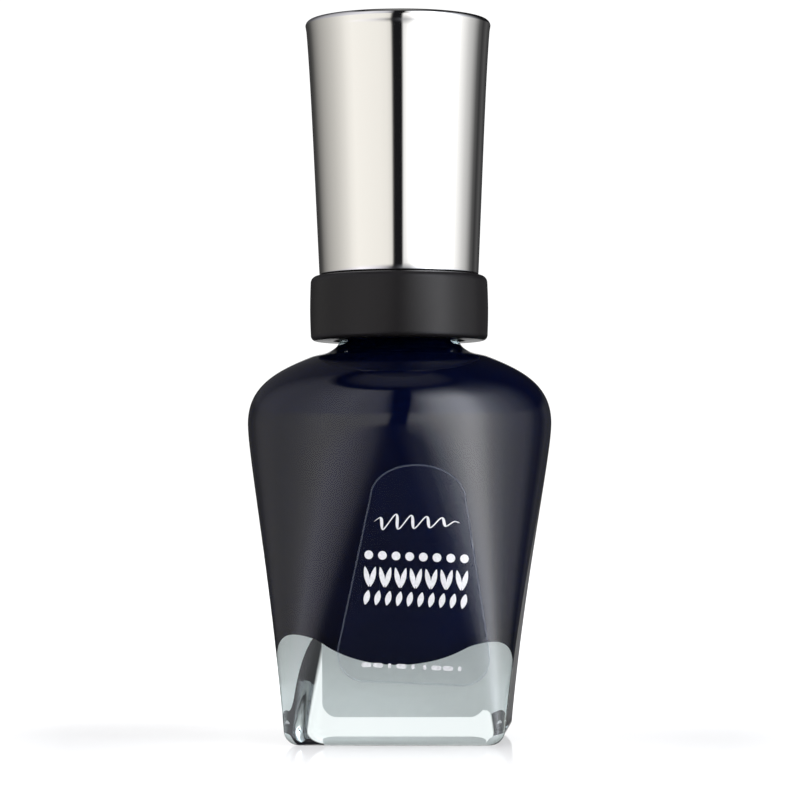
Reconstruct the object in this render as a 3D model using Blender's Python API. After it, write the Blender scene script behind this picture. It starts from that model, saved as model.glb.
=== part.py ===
"""Nail polish bottle with its brush cap, as separate pieces. Metres, +Z up, front at -Y.

A heavy glass bottle with a square foot and a round shoulder holds the lacquer and two mixing
balls. The screw cap is built up from an inner cap, a collar and a plated overcap, and it carries
a brush on a snap-in stem. Run with: blender --background --python part.py
"""

import math

import bmesh
import bpy

# ---- Glass bottle ----
FOOT_HALF_WIDTH = 0.01336  # across the flats, where the sides start
FOOT_FILLET = 0.0019  # rounding of the foot's outer edge
SHOULDER_RADIUS = 0.01885  # the widest place, which is round
SHOULDER_HEIGHT = 0.03913
DOME_HEIGHT = 0.00830  # from the widest place up to the neck
DOME_TOP_RADIUS = 0.0110
SIDE_LEAN = 0.104  # how far the sides lean out for their height, just above the foot
SIDE_LEAD = 0.49  # share of the sides' height over which that lean fades
SHOULDER_TURN = 0.0041  # length over which the sides turn upright at the widest place
DOME_RISE = 0.55  # share of the dome's height that stays steep
DOME_REACH = 0.58  # share of the dome's width over which its top stays shallow
DOME_DIP = 0.22  # share of the dome's height that this shallow stretch drops
FOOT_CORNER = 0.0017  # radius of the upright corners at the foot
BASE_THICKNESS = 0.0101  # solid glass under the lowest place of the cavity
BOWL_DEPTH = 0.0080  # of the cavity's rounded floor
FOOT_WALL = 0.0032  # glass beside the cavity, low down
SHOULDER_WALL = 0.0050  # glass beside the cavity at the widest place
PUSH_UP_RADIUS = 0.0092  # hollow under the base, which keeps the sticker off the table
PUSH_UP_DEPTH = 0.0006
BORE_ENTRY = 0.0012  # height above the dome where the cavity has closed in to the bore
CAVITY_DOME_RISE = 0.0042  # height over which the cavity stays steep above its widest place
CAVITY_DOME_REACH = 0.0005  # how far outside the bore the cavity's dome turns up
CAVITY_DOME_DROP = 0.0036  # and how far below the dome's top

# ---- Neck finish ----
NECK_HEIGHT = 0.01357
NECK_ROOT_RADIUS = 0.0066
BORE_RADIUS = 0.0042
LIP_ROUNDING = 0.0005
BEAD_HEIGHT = 0.0034  # the plain bead between the dome and the thread
BEAD_STEP = 0.0006  # height over which the bead draws in to the thread's root
NECK_FILLET = 0.0022  # height of the hollow curve from the dome up to the bead
NECK_FILLET_RUN = 0.4  # share of the curve's width that stays shallow
NECK_FILLET_LIFT = 0.2  # share of its height that this shallow stretch rises
NECK_FILLET_RISE = 0.3  # share of its height where it turns upright
THREAD_PITCH = 0.00212
THREAD_DEPTH = 0.0007
THREAD_TURNS = 1.75
THREAD_BASE_WIDTH = 0.0010
THREAD_CREST_WIDTH = 0.0004
THREAD_LIP_DROP = 0.0010  # from the lip down to the end of the thread
THREAD_RUN_IN = 0.12  # turns over which a thread's ends fade
CAP_THREAD_FIRST_TURN = 0.25  # how far up the neck's thread the cap's thread starts

# ---- Contents ----
LIQUID_LEVEL = 0.0030  # height of the lacquer above the dome, inside the neck
BALL_RADIUS = 0.0020

# ---- Brush ----
BRUSH_REACH = 0.0466  # from the lip down to the tip of the bristles
BRISTLE_LENGTH = 0.0135  # that shows below the stem
TUFT_HALF_WIDTH = 0.0026
TUFT_HALF_THICKNESS = 0.0011
TIP_LENGTH = 0.0032  # of the rounded tip
TUFT_ROOT_HALF_WIDTH = 0.00135
TUFT_ROOT_HALF_THICKNESS = 0.00085
STEM_RADIUS = 0.0030
STEM_TIP_RADIUS = 0.0021
STEM_TAPER_START = 0.0040  # below the flange
SOCKET_DEPTH = 0.0045
FLANGE_THICKNESS = 0.0009
SPIGOT_RADIUS = 0.0026
SPIGOT_BEAD = 0.00025  # how far the snap bead stands out
SPIGOT_HEAD_HEIGHT = 0.0020  # above the inner cap's ceiling
SPIGOT_BEAD_SHARES = (0.15, 0.35)  # of the head's height, where the snap bead starts and ends
SPIGOT_TAPER_SHARE = 0.8  # of the head's height, where its tip starts to draw in
STAPLE_HEIGHT = 0.0009
STAPLE_THICKNESS = 0.0003
STAPLE_WIDTH_SHARE = 0.85  # of the socket's width
TIP_BLUNTNESS = 0.1  # share of the tuft's width that stays flat at its very tip
WASHER_THICKNESS = 0.0007

# ---- Cap ----
SKIRT_WALL = 0.0012
SKIRT_LIFT = 0.00317  # from the dome up to the inner cap's rim
CEILING_THICKNESS = 0.0014
CORE_HEIGHT = 0.0160  # of the ribbed core that stands on the ceiling
FIN_HEIGHT = 0.00015  # of the ribs, where the overcap starts
FIN_COUNT = 8
FIN_HALF_ANGLE = math.radians(2.4)
FIN_FOOT_SPREAD = 1.15  # how much wider a rib is at its foot than at its crest
FIN_GAP_SHARES = (0.37, 0.63)  # where the facets between two ribs meet
FIN_SETBACK = 0.0008  # from the overcap's rim to the ribs, and from the core's rim
COLLAR_LIFT = 0.00197  # from the dome up to the collar
COLLAR_HEIGHT = 0.0081
COLLAR_STEP = 0.0011  # how far the collar stands out past the overcap
COLLAR_LIP_THICKNESS = 0.0009
COLLAR_CROWN = 0.00008  # how far its side swells
COLLAR_CROWN_SHARE = 0.45  # of its height, where it swells most
COLLAR_TOP_EDGE = 0.0009
COLLAR_LOW_EDGE = 0.0007
OVERCAP_HEIGHT = 0.03175
OVERCAP_FLARE = 0.00165
FLARE_EVEN_SHARE = 0.85  # of the flare, which opens evenly; the rest opens near the top
FLARE_LATE_POWER = 6
OVERCAP_WALL = 0.0010
OVERCAP_TOP_THICKNESS = 0.0014
OVERCAP_EDGE = 0.0007

# ---- Labels ----
FILM_THICKNESS = 0.00008
FILM_END_SHARE = 0.03  # of the film's length left off at each end, so that no row closes to a point
FRONT_LABEL_SIDE_MARGIN = 0.00046  # from its widest place to the foot's flank
FRONT_LABEL_TAPER = 0.0041  # how far each straight side draws in up to the arch
FRONT_LABEL_ARCH = 0.0040
FRONT_LABEL_CORNER = 0.0042
FRONT_LABEL_OFFSET = 0.0030  # it sits right of the middle of the face
FRONT_LABEL_TILT = math.radians(2.6)  # and leans to the right
LABEL_TOP_MARGIN = 0.0053  # below the widest place
LABEL_BOTTOM_MARGIN = 0.0056  # above the foot's rounding
REAR_LABEL_HALF_WIDTH = 0.0102
REAR_LABEL_TOP_MARGIN = 0.0090
REAR_LABEL_BOTTOM_MARGIN = 0.0015  # above the foot's rounding
REAR_LABEL_CORNER = 0.0020
BASE_LABEL_RADIUS = 0.0080

# ---- Fits ----
SEAT_GAP = 0.00005  # between faces that are pressed together
FILM_GAP = 0.00006  # between a label and the glass
LIQUID_GAP = 0.0001  # between the lacquer and the glass
THREAD_CLEARANCE = 0.00025  # radial, between the two threads
RUNNING_CLEARANCE = 0.00008  # radial, between round pieces that turn on each other
BEAD_CLEARANCE = 0.0004
BRUSH_CLEARANCE = 0.0005  # between the bristles and the space left for them
STEM_CLEARANCE = 0.0004  # between the stem and the washer's hole
COLLAR_GAP = 0.0001  # between the collar and the overcap

EDGE_BREAK = 0.0002  # small chamfer on moulded edges

# ---- Resolution ----
STEPS_PER_HALF_FACE = 7
TURNED_STEPS = 48
BRUSH_STEPS = 24
THREAD_RING_SPACING = 0.00028

# ---- Heights and radii that follow ----
DIAGONAL = math.sqrt(2)  # of a square, for a side of one
BODY_TOP = SHOULDER_HEIGHT + DOME_HEIGHT
LIP_Z = BODY_TOP + NECK_HEIGHT
BEAD_RADIUS = NECK_ROOT_RADIUS + THREAD_DEPTH
THREAD_START_Z = LIP_Z - THREAD_LIP_DROP - THREAD_TURNS * THREAD_PITCH
WASHER_Z = LIP_Z + SEAT_GAP
FLANGE_Z = WASHER_Z + WASHER_THICKNESS + SEAT_GAP
CEILING_Z = FLANGE_Z + FLANGE_THICKNESS + SEAT_GAP
CEILING_TOP_Z = CEILING_Z + CEILING_THICKNESS
CORE_TOP_Z = CEILING_TOP_Z + CORE_HEIGHT
CAP_THREAD_ROOT = NECK_ROOT_RADIUS + THREAD_DEPTH + THREAD_CLEARANCE
SKIRT_RADIUS = CAP_THREAD_ROOT + SKIRT_WALL
OVERCAP_INNER_RADIUS = SKIRT_RADIUS + FIN_HEIGHT
OVERCAP_RADIUS = OVERCAP_INNER_RADIUS + OVERCAP_WALL
COLLAR_RADIUS = OVERCAP_RADIUS + COLLAR_STEP
COLLAR_Z = BODY_TOP + COLLAR_LIFT
OVERCAP_Z = COLLAR_Z + COLLAR_HEIGHT + COLLAR_GAP
OVERCAP_TOP_Z = OVERCAP_Z + OVERCAP_HEIGHT
SKIRT_Z = BODY_TOP + SKIRT_LIFT
BRUSH_TIP_Z = LIP_Z - BRUSH_REACH
STEM_TIP_Z = BRUSH_TIP_Z + BRISTLE_LENGTH
WELL_RADIUS = max(TUFT_HALF_WIDTH + BRUSH_CLEARANCE, STEM_RADIUS + LIQUID_GAP)
FRONT_LABEL_LOW_HALF_WIDTH = FOOT_HALF_WIDTH - FRONT_LABEL_OFFSET - FRONT_LABEL_SIDE_MARGIN
FRONT_LABEL_HIGH_HALF_WIDTH = FRONT_LABEL_LOW_HALF_WIDTH - FRONT_LABEL_TAPER


def clear_scene():
    for obj in list(bpy.data.objects):
        bpy.data.objects.remove(obj)


def material(name, colour, roughness, metallic=0.0, transmission=0.0):
    made = bpy.data.materials.new(name)
    made.use_nodes = True
    shader = made.node_tree.nodes["Principled BSDF"]
    shader.inputs["Base Color"].default_value = (*colour, 1.0)
    shader.inputs["Roughness"].default_value = roughness
    shader.inputs["Metallic"].default_value = metallic
    shader.inputs["Transmission Weight"].default_value = transmission
    made.diffuse_color = (*colour, 1.0)
    return made


# ---- Outlines ----


def bezier(start, lead, trail, end, count):
    """Points of a cubic curve, without its start, so that stretches can be chained."""
    points = []
    for step in range(1, count + 1):
        t = step / count
        s = 1 - t
        weights = (s**3, 3 * s * s * t, 3 * s * t * t, t**3)
        knots = (start, lead, trail, end)
        points.append(tuple(sum(w * p[axis] for w, p in zip(weights, knots)) for axis in (0, 1)))
    return points


def arc(centre, radius, from_degrees, to_degrees, count):
    """Points of a circular arc, with both ends."""
    points = []
    for step in range(count + 1):
        angle = math.radians(from_degrees + (to_degrees - from_degrees) * step / count)
        points.append((centre[0] + radius * math.cos(angle), centre[1] + radius * math.sin(angle)))
    return points


def body_outline():
    """(half width, height) up the outside of the bottle, from the foot's rounding to the dome's top."""
    foot = arc((FOOT_HALF_WIDTH - FOOT_FILLET, FOOT_FILLET), FOOT_FILLET, -90, 0, 4)
    lead = SIDE_LEAD * (SHOULDER_HEIGHT - FOOT_FILLET)
    side = bezier(
        (FOOT_HALF_WIDTH, FOOT_FILLET),
        (FOOT_HALF_WIDTH + SIDE_LEAN * lead, FOOT_FILLET + lead),
        (SHOULDER_RADIUS, SHOULDER_HEIGHT - SHOULDER_TURN),
        (SHOULDER_RADIUS, SHOULDER_HEIGHT),
        18,
    )
    reach = DOME_REACH * (SHOULDER_RADIUS - DOME_TOP_RADIUS)
    dome = bezier(
        (SHOULDER_RADIUS, SHOULDER_HEIGHT),
        (SHOULDER_RADIUS, SHOULDER_HEIGHT + DOME_RISE * DOME_HEIGHT),
        (DOME_TOP_RADIUS + reach, BODY_TOP - DOME_DIP * DOME_HEIGHT),
        (DOME_TOP_RADIUS, BODY_TOP),
        9,
    )
    return foot + side + dome


BODY_OUTLINE = body_outline()


def half_width_at(height):
    """Half the width of the bottle across its flats at this height."""
    for (low, low_z), (high, high_z) in zip(BODY_OUTLINE, BODY_OUTLINE[1:]):
        if height <= high_z:
            share = max(0.0, (height - low_z) / (high_z - low_z))
            return low + (high - low) * share
    return BODY_OUTLINE[-1][0]


def corner_at(height):
    """Radius of the upright corners. It grows so that the bottle's diagonal goes evenly from the
    foot's to the shoulder's: the corners stand nearly upright while the flats lean out."""
    half_width = half_width_at(height)
    if height >= SHOULDER_HEIGHT:
        return half_width
    rise = max(0.0, height) / SHOULDER_HEIGHT
    foot_diagonal = DIAGONAL * FOOT_HALF_WIDTH - (DIAGONAL - 1) * FOOT_CORNER
    diagonal = foot_diagonal + (SHOULDER_RADIUS - foot_diagonal) * rise
    flat_width = half_width_at(max(height, FOOT_FILLET))
    corner = (DIAGONAL * flat_width - diagonal) / (DIAGONAL - 1)
    return min(max(corner, FOOT_CORNER / 2), half_width)


def rounded_square_radius(half_width, corner, angle):
    """Distance from the axis to a rounded square, at this angle from the middle of a face."""
    flat = half_width - corner
    folded = abs((angle + math.pi / 4) % (math.pi / 2) - math.pi / 4)
    if half_width * math.tan(folded) <= flat:
        return half_width / math.cos(folded)
    along = flat * (math.cos(folded) + math.sin(folded))
    return along + math.sqrt(max(0.0, along * along - 2 * flat * flat + corner * corner))


def body_angles():
    """Angles round the bottle, closer together at the corners."""
    middle = math.pi / 4
    shares = [step / STEPS_PER_HALF_FACE for step in range(STEPS_PER_HALF_FACE)]
    half = [middle * math.sin(math.pi / 2 * share) for share in shares]
    quarter = half + [math.pi / 2 - a for a in [middle] + half[:0:-1]]
    return [quadrant * math.pi / 2 + angle for quadrant in range(4) for angle in quarter]


def even_angles(count):
    return [2 * math.pi * step / count for step in range(count)]


def thread_height(angle, height, start_z, first_turn, turns):
    """How much of the thread's full depth stands here: 1 on the crest, 0 off the ridge."""
    along = (height - start_z) / THREAD_PITCH - angle / (2 * math.pi)
    turn = round(along)
    place = turn + angle / (2 * math.pi) - first_turn
    distance = abs(along - turn) * THREAD_PITCH
    slope = (THREAD_BASE_WIDTH - THREAD_CREST_WIDTH) / 2
    side = (THREAD_BASE_WIDTH / 2 - distance) / slope
    ends = min(place, turns - place) / THREAD_RUN_IN
    return min(1.0, max(0.0, side)) * min(1.0, max(0.0, ends))


def thread_levels(low_z, high_z):
    count = round((high_z - low_z) / THREAD_RING_SPACING)
    return [low_z + (high_z - low_z) * step / count for step in range(count + 1)]


# ---- Mesh helpers ----


def polar_ring(angles, radius_at, height):
    return [(radius_at(a) * math.cos(a), radius_at(a) * math.sin(a), height) for a in angles]


def round_ring(angles, radius, height):
    return polar_ring(angles, lambda angle: radius, height)


def oval_ring(angles, half_width, half_thickness, height):
    return [(half_width * math.cos(a), half_thickness * math.sin(a), height) for a in angles]


def finish(name, bm, look, smooth_degrees=35):
    bmesh.ops.recalc_face_normals(bm, faces=bm.faces)
    mesh = bpy.data.meshes.new(name)
    bm.to_mesh(mesh)
    bm.free()
    mesh.shade_smooth()
    mesh.set_sharp_from_angle(angle=math.radians(smooth_degrees))
    mesh.materials.append(look)
    obj = bpy.data.objects.new(name, mesh)
    bpy.context.scene.collection.objects.link(obj)
    return obj


def loft(name, rings, look, closed=False, origin_z=0.0, smooth_degrees=35):
    """A skin over rings with equal numbers of points. The end rings get flat caps, or join up if closed."""
    bm = bmesh.new()
    loops = [[bm.verts.new((x, y, z - origin_z)) for x, y, z in ring] for ring in rings]
    pairs = list(zip(loops, loops[1:]))
    if closed:
        pairs.append((loops[-1], loops[0]))
    else:
        bm.faces.new(loops[0])
        bm.faces.new(loops[-1])
    for low, high in pairs:
        for i in range(len(low)):
            j = (i + 1) % len(low)
            bm.faces.new((low[i], low[j], high[j], high[i]))
    obj = finish(name, bm, look, smooth_degrees)
    obj.location.z = origin_z
    return obj


def turned(name, outline, look, closed=True, steps=TURNED_STEPS, origin_z=0.0):
    """A piece turned on a lathe. An outline that starts and ends on the axis isn't closed."""
    bm = bmesh.new()
    corners = [bm.verts.new((radius, 0, height - origin_z)) for radius, height in outline]
    pairs = list(zip(corners, corners[1:]))
    if closed:
        pairs.append((corners[-1], corners[0]))
    edges = [bm.edges.new(pair) for pair in pairs]
    bmesh.ops.spin(
        bm,
        geom=corners + edges,
        cent=(0, 0, 0),
        axis=(0, 0, 1),
        angle=2 * math.pi,
        steps=steps,
        use_merge=True,
    )
    bmesh.ops.remove_doubles(bm, verts=bm.verts, dist=1e-7)
    obj = finish(name, bm, look)
    obj.location.z = origin_z
    return obj


# ---- Bottle and contents ----


def cavity_outline():
    """(radius, height) of the cavity, from the middle of its floor up to the bore."""
    rim_z = BASE_THICKNESS + BOWL_DEPTH
    rim_radius = half_width_at(rim_z) - FOOT_WALL
    floor = []
    for step in range(1, 8):
        angle = math.pi / 2 * step / 7
        floor.append((rim_radius * math.sin(angle), rim_z - BOWL_DEPTH * math.cos(angle)))
    wide_radius = SHOULDER_RADIUS - SHOULDER_WALL
    walls = []
    for step in range(1, 7):
        share = step / 6
        height = rim_z + (SHOULDER_HEIGHT - rim_z) * share
        wall = FOOT_WALL + (SHOULDER_WALL - FOOT_WALL) * share
        walls.append((half_width_at(height) - wall, height))
    dome = bezier(
        (wide_radius, SHOULDER_HEIGHT),
        (wide_radius, SHOULDER_HEIGHT + CAVITY_DOME_RISE),
        (BORE_RADIUS + CAVITY_DOME_REACH, BODY_TOP - CAVITY_DOME_DROP),
        (BORE_RADIUS, BODY_TOP + BORE_ENTRY),
        9,
    )
    return floor + walls + dome


def neck_outline():
    """(radius, height) from the dome's top up to the foot of the thread."""
    run = NECK_FILLET_RUN * (DOME_TOP_RADIUS - BEAD_RADIUS)
    fillet = bezier(
        (DOME_TOP_RADIUS, BODY_TOP),
        (DOME_TOP_RADIUS - run, BODY_TOP + NECK_FILLET_LIFT * NECK_FILLET),
        (BEAD_RADIUS + EDGE_BREAK, BODY_TOP + NECK_FILLET_RISE * NECK_FILLET),
        (BEAD_RADIUS + EDGE_BREAK / 2, BODY_TOP + NECK_FILLET),
        5,
    )
    bead_top = BODY_TOP + BEAD_HEIGHT
    bead = [(BEAD_RADIUS, bead_top - BEAD_STEP), (NECK_ROOT_RADIUS, bead_top)]
    return fillet + bead


def glass_bottle():
    angles = body_angles()
    rings = []
    floor_z = PUSH_UP_DEPTH
    rings.append(round_ring(angles, PUSH_UP_RADIUS - PUSH_UP_DEPTH, floor_z))
    rings.append(round_ring(angles, PUSH_UP_RADIUS, 0.0))
    for half_width, height in BODY_OUTLINE:
        inset = FOOT_HALF_WIDTH - half_width if height < FOOT_FILLET else 0.0
        corner = max(corner_at(height) - inset / 2, FOOT_CORNER / 3)

        def radius_at(angle, half_width=half_width, corner=corner):
            return rounded_square_radius(half_width, corner, angle)

        rings.append(polar_ring(angles, radius_at, height))
    for radius, height in neck_outline():
        rings.append(round_ring(angles, radius, height))
    thread_low = THREAD_START_Z - THREAD_BASE_WIDTH / 2
    for height in thread_levels(thread_low, LIP_Z - LIP_ROUNDING - THREAD_RING_SPACING):

        def threaded(angle, height=height):
            share = thread_height(angle, height, THREAD_START_Z, 0.0, THREAD_TURNS)
            return NECK_ROOT_RADIUS + THREAD_DEPTH * share

        rings.append(polar_ring(angles, threaded, height))
    lip = arc((NECK_ROOT_RADIUS - LIP_ROUNDING, LIP_Z - LIP_ROUNDING), LIP_ROUNDING, 0, 90, 3)
    lip += arc((BORE_RADIUS + LIP_ROUNDING, LIP_Z - LIP_ROUNDING), LIP_ROUNDING, 90, 180, 3)
    rings += [round_ring(angles, radius, height) for radius, height in lip]
    rings += [round_ring(angles, radius, height) for radius, height in reversed(cavity_outline())]
    look = material("clear_glass", (0.93, 0.95, 0.95), 0.02, transmission=1.0)
    return loft("glass_bottle", rings, look)


def ball_centre_height():
    """Height of the balls' middles, where they rest side by side on the cavity's floor."""
    rim_radius = half_width_at(BASE_THICKNESS + BOWL_DEPTH) - FOOT_WALL
    dip = BOWL_DEPTH * (1 - math.sqrt(1 - ((BALL_RADIUS + SEAT_GAP) / rim_radius) ** 2))
    return BASE_THICKNESS + dip + BALL_RADIUS + LIQUID_GAP


def lacquer_fill():
    """The lacquer. A space is left open down its middle, for the brush and for the mixing balls."""
    cavity = cavity_outline()
    level_z = BODY_TOP + LIQUID_LEVEL
    chamber_radius = 2 * BALL_RADIUS + 3 * LIQUID_GAP
    chamber_top = max(BRUSH_TIP_Z - BRUSH_CLEARANCE, ball_centre_height() + BALL_RADIUS + LIQUID_GAP)
    side = [(max(radius - LIQUID_GAP, WELL_RADIUS + LIQUID_GAP), z) for radius, z in cavity]
    side = [(r, z + LIQUID_GAP * (z < BASE_THICKNESS + BOWL_DEPTH)) for r, z in side]
    side = [(r, z) for r, z in side if r > chamber_radius + LIQUID_GAP or z > chamber_top]
    floor_z = BASE_THICKNESS + BOWL_DEPTH
    rim_radius = half_width_at(floor_z) - FOOT_WALL
    drop = math.sqrt(1 - (chamber_radius / rim_radius) ** 2)
    chamber_floor = floor_z - BOWL_DEPTH * drop + 2 * LIQUID_GAP
    outline = [(WELL_RADIUS, level_z), (side[-1][0], level_z)]
    outline += list(reversed(side))
    outline += [(chamber_radius, chamber_floor), (chamber_radius, chamber_top), (WELL_RADIUS, chamber_top)]
    look = material("navy_lacquer", (0.004, 0.007, 0.03), 0.08)
    return turned("lacquer_fill", outline, look)


def mixing_balls():
    """Two steel balls side by side on the lowest place of the cavity's floor."""
    look = material("ball_steel", (0.62, 0.62, 0.62), 0.2, metallic=1.0)
    offset = BALL_RADIUS + SEAT_GAP
    for index, side in enumerate((-1, 1), start=1):
        bm = bmesh.new()
        bmesh.ops.create_icosphere(bm, subdivisions=3, radius=BALL_RADIUS)
        ball = finish(f"mixing_ball_{index}", bm, look)
        ball.location = (side * offset, 0, ball_centre_height())


# ---- Labels ----


def face_point(distance, height, lift):
    """A point on the front of the bottle, this far round from the middle of the face, lifted off it."""
    half_width = half_width_at(height)
    corner = corner_at(height)
    flat = half_width - corner
    along = abs(distance)
    side = math.copysign(1.0, distance)
    if along <= flat:
        return side * along, -(half_width + lift), height
    turn = (along - flat) / corner
    reach = corner + lift
    return side * (flat + reach * math.sin(turn)), -(flat + reach * math.cos(turn)), height


def nail_half_width(height, full_height):
    """Half width of the nail-shaped label: a flat foot with round corners and an arched top."""
    arch_start = full_height - FRONT_LABEL_ARCH
    share = min(1.0, height / arch_start)
    side = FRONT_LABEL_LOW_HALF_WIDTH
    side += (FRONT_LABEL_HIGH_HALF_WIDTH - FRONT_LABEL_LOW_HALF_WIDTH) * share
    if height < FRONT_LABEL_CORNER:
        rise = FRONT_LABEL_CORNER - height
        return side - FRONT_LABEL_CORNER + math.sqrt(FRONT_LABEL_CORNER**2 - rise**2)
    if height > arch_start:
        rise = (height - arch_start) / FRONT_LABEL_ARCH
        return side * math.sqrt(max(0.0, 1 - rise**2))
    return side


def rectangle_half_width(height, full_height):
    """Half width of the rear label: a rectangle with round corners."""
    edge = min(height, full_height - height)
    if edge >= REAR_LABEL_CORNER:
        return REAR_LABEL_HALF_WIDTH
    rise = REAR_LABEL_CORNER - edge
    return REAR_LABEL_HALF_WIDTH - REAR_LABEL_CORNER + math.sqrt(REAR_LABEL_CORNER**2 - rise**2)


def film(name, half_width_of, low_z, high_z, offset, tilt, look, columns=14, rows=22):
    """A thin film that follows the front of the bottle, as a grid with a front and a back."""
    full_height = high_z - low_z
    bm = bmesh.new()
    sheets = []
    for lift in (FILM_GAP, FILM_GAP + FILM_THICKNESS):
        sheet = []
        for row in range(rows + 1):
            along = FILM_END_SHARE + (1 - 2 * FILM_END_SHARE) * row / rows
            eased = (1 - math.cos(math.pi * along)) / 2
            height = full_height * eased
            half_width = half_width_of(height, full_height)
            line = []
            for column in range(columns + 1):
                across = half_width * (2 * column / columns - 1)
                up = height - full_height / 2
                x = offset + across * math.cos(tilt) + up * math.sin(tilt)
                z = low_z + full_height / 2 + up * math.cos(tilt) - across * math.sin(tilt)
                line.append(bm.verts.new(face_point(x, z, lift)))
            sheet.append(line)
        sheets.append(sheet)
    for sheet in sheets:
        for low, high in zip(sheet, sheet[1:]):
            for i in range(columns):
                bm.faces.new((low[i], low[i + 1], high[i + 1], high[i]))
    edge = [bm_edge for bm_edge in bm.edges if bm_edge.is_boundary]
    bmesh.ops.bridge_loops(bm, edges=edge)
    return finish(name, bm, look)


def front_label():
    look = material("clear_film", (0.9, 0.9, 0.92), 0.25, transmission=0.8)
    low_z = FOOT_FILLET + LABEL_BOTTOM_MARGIN
    high_z = SHOULDER_HEIGHT - LABEL_TOP_MARGIN
    return film(
        "front_label", nail_half_width, low_z, high_z, FRONT_LABEL_OFFSET, FRONT_LABEL_TILT, look
    )


def rear_label():
    look = material("label_paper", (0.8, 0.8, 0.8), 0.5)
    low_z = FOOT_FILLET + REAR_LABEL_BOTTOM_MARGIN
    high_z = SHOULDER_HEIGHT - REAR_LABEL_TOP_MARGIN
    label = film("rear_label", rectangle_half_width, low_z, high_z, 0.0, 0.0, look)
    label.rotation_euler.z = math.pi
    return label


def base_label():
    """The round sticker in the hollow under the base."""
    look = material("sticker", (0.85, 0.85, 0.85), 0.4)
    top = PUSH_UP_DEPTH - SEAT_GAP
    bottom = top - FILM_THICKNESS
    outline = [(0, top), (BASE_LABEL_RADIUS, top), (BASE_LABEL_RADIUS, bottom), (0, bottom)]
    return turned("base_label", outline, look, closed=False)


# ---- Brush ----


def sealing_washer():
    look = material("washer_foam", (0.85, 0.85, 0.83), 0.6)
    inner = STEM_RADIUS + STEM_CLEARANCE
    outer = NECK_ROOT_RADIUS - LIP_ROUNDING
    top = WASHER_Z + WASHER_THICKNESS
    outline = [(inner, top), (outer, top), (outer, WASHER_Z), (inner, WASHER_Z)]
    return turned("sealing_washer", outline, look, steps=BRUSH_STEPS * 2, origin_z=WASHER_Z)


def brush_stem():
    """The stem with its flange and snap-in spigot above, and an oval socket for the bristles below."""
    angles = even_angles(BRUSH_STEPS)
    snap_z = CEILING_TOP_Z + RUNNING_CLEARANCE
    flange_radius = NECK_ROOT_RADIUS - LIP_ROUNDING
    flange_top = FLANGE_Z + FLANGE_THICKNESS
    profile = [
        (SPIGOT_RADIUS - 3 * EDGE_BREAK, snap_z + SPIGOT_HEAD_HEIGHT),
        (SPIGOT_RADIUS - EDGE_BREAK, snap_z + SPIGOT_TAPER_SHARE * SPIGOT_HEAD_HEIGHT),
        (SPIGOT_RADIUS + SPIGOT_BEAD, snap_z + SPIGOT_BEAD_SHARES[1] * SPIGOT_HEAD_HEIGHT),
        (SPIGOT_RADIUS + SPIGOT_BEAD, snap_z + SPIGOT_BEAD_SHARES[0] * SPIGOT_HEAD_HEIGHT),
        (SPIGOT_RADIUS, snap_z),
        (SPIGOT_RADIUS, flange_top),
        (flange_radius, flange_top),
        (flange_radius, FLANGE_Z),
        (STEM_RADIUS, FLANGE_Z),
        (STEM_RADIUS, FLANGE_Z - STEM_TAPER_START),
        (STEM_TIP_RADIUS, STEM_TIP_Z + SOCKET_DEPTH),
        (STEM_TIP_RADIUS, STEM_TIP_Z + EDGE_BREAK),
        (STEM_TIP_RADIUS - EDGE_BREAK, STEM_TIP_Z),
    ]
    rings = [round_ring(angles, radius, height) for radius, height in profile]
    socket_width = TUFT_ROOT_HALF_WIDTH + RUNNING_CLEARANCE
    socket_thickness = TUFT_ROOT_HALF_THICKNESS + RUNNING_CLEARANCE
    for height in (STEM_TIP_Z, STEM_TIP_Z + SOCKET_DEPTH):
        rings.append(oval_ring(angles, socket_width, socket_thickness, height))
    look = material("stem_plastic", (0.02, 0.02, 0.02), 0.35)
    return loft("brush_stem", rings, look, origin_z=FLANGE_Z)


def bristle_staple():
    """The metal staple that anchors the folded bristles at the top of the socket."""
    bm = bmesh.new()
    bmesh.ops.create_cube(bm, size=1.0)
    width = 2 * TUFT_ROOT_HALF_WIDTH * STAPLE_WIDTH_SHARE
    bmesh.ops.scale(bm, vec=(width, STAPLE_THICKNESS, STAPLE_HEIGHT), verts=bm.verts)
    staple = finish("bristle_staple", bm, material("staple_steel", (0.7, 0.7, 0.7), 0.25, metallic=1.0))
    bevel = staple.modifiers.new("soft_edges", "BEVEL")
    bevel.width = STAPLE_THICKNESS / 4
    bevel.segments = 2
    staple.location.z = STEM_TIP_Z + SOCKET_DEPTH - SEAT_GAP - STAPLE_HEIGHT / 2
    return staple


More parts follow.
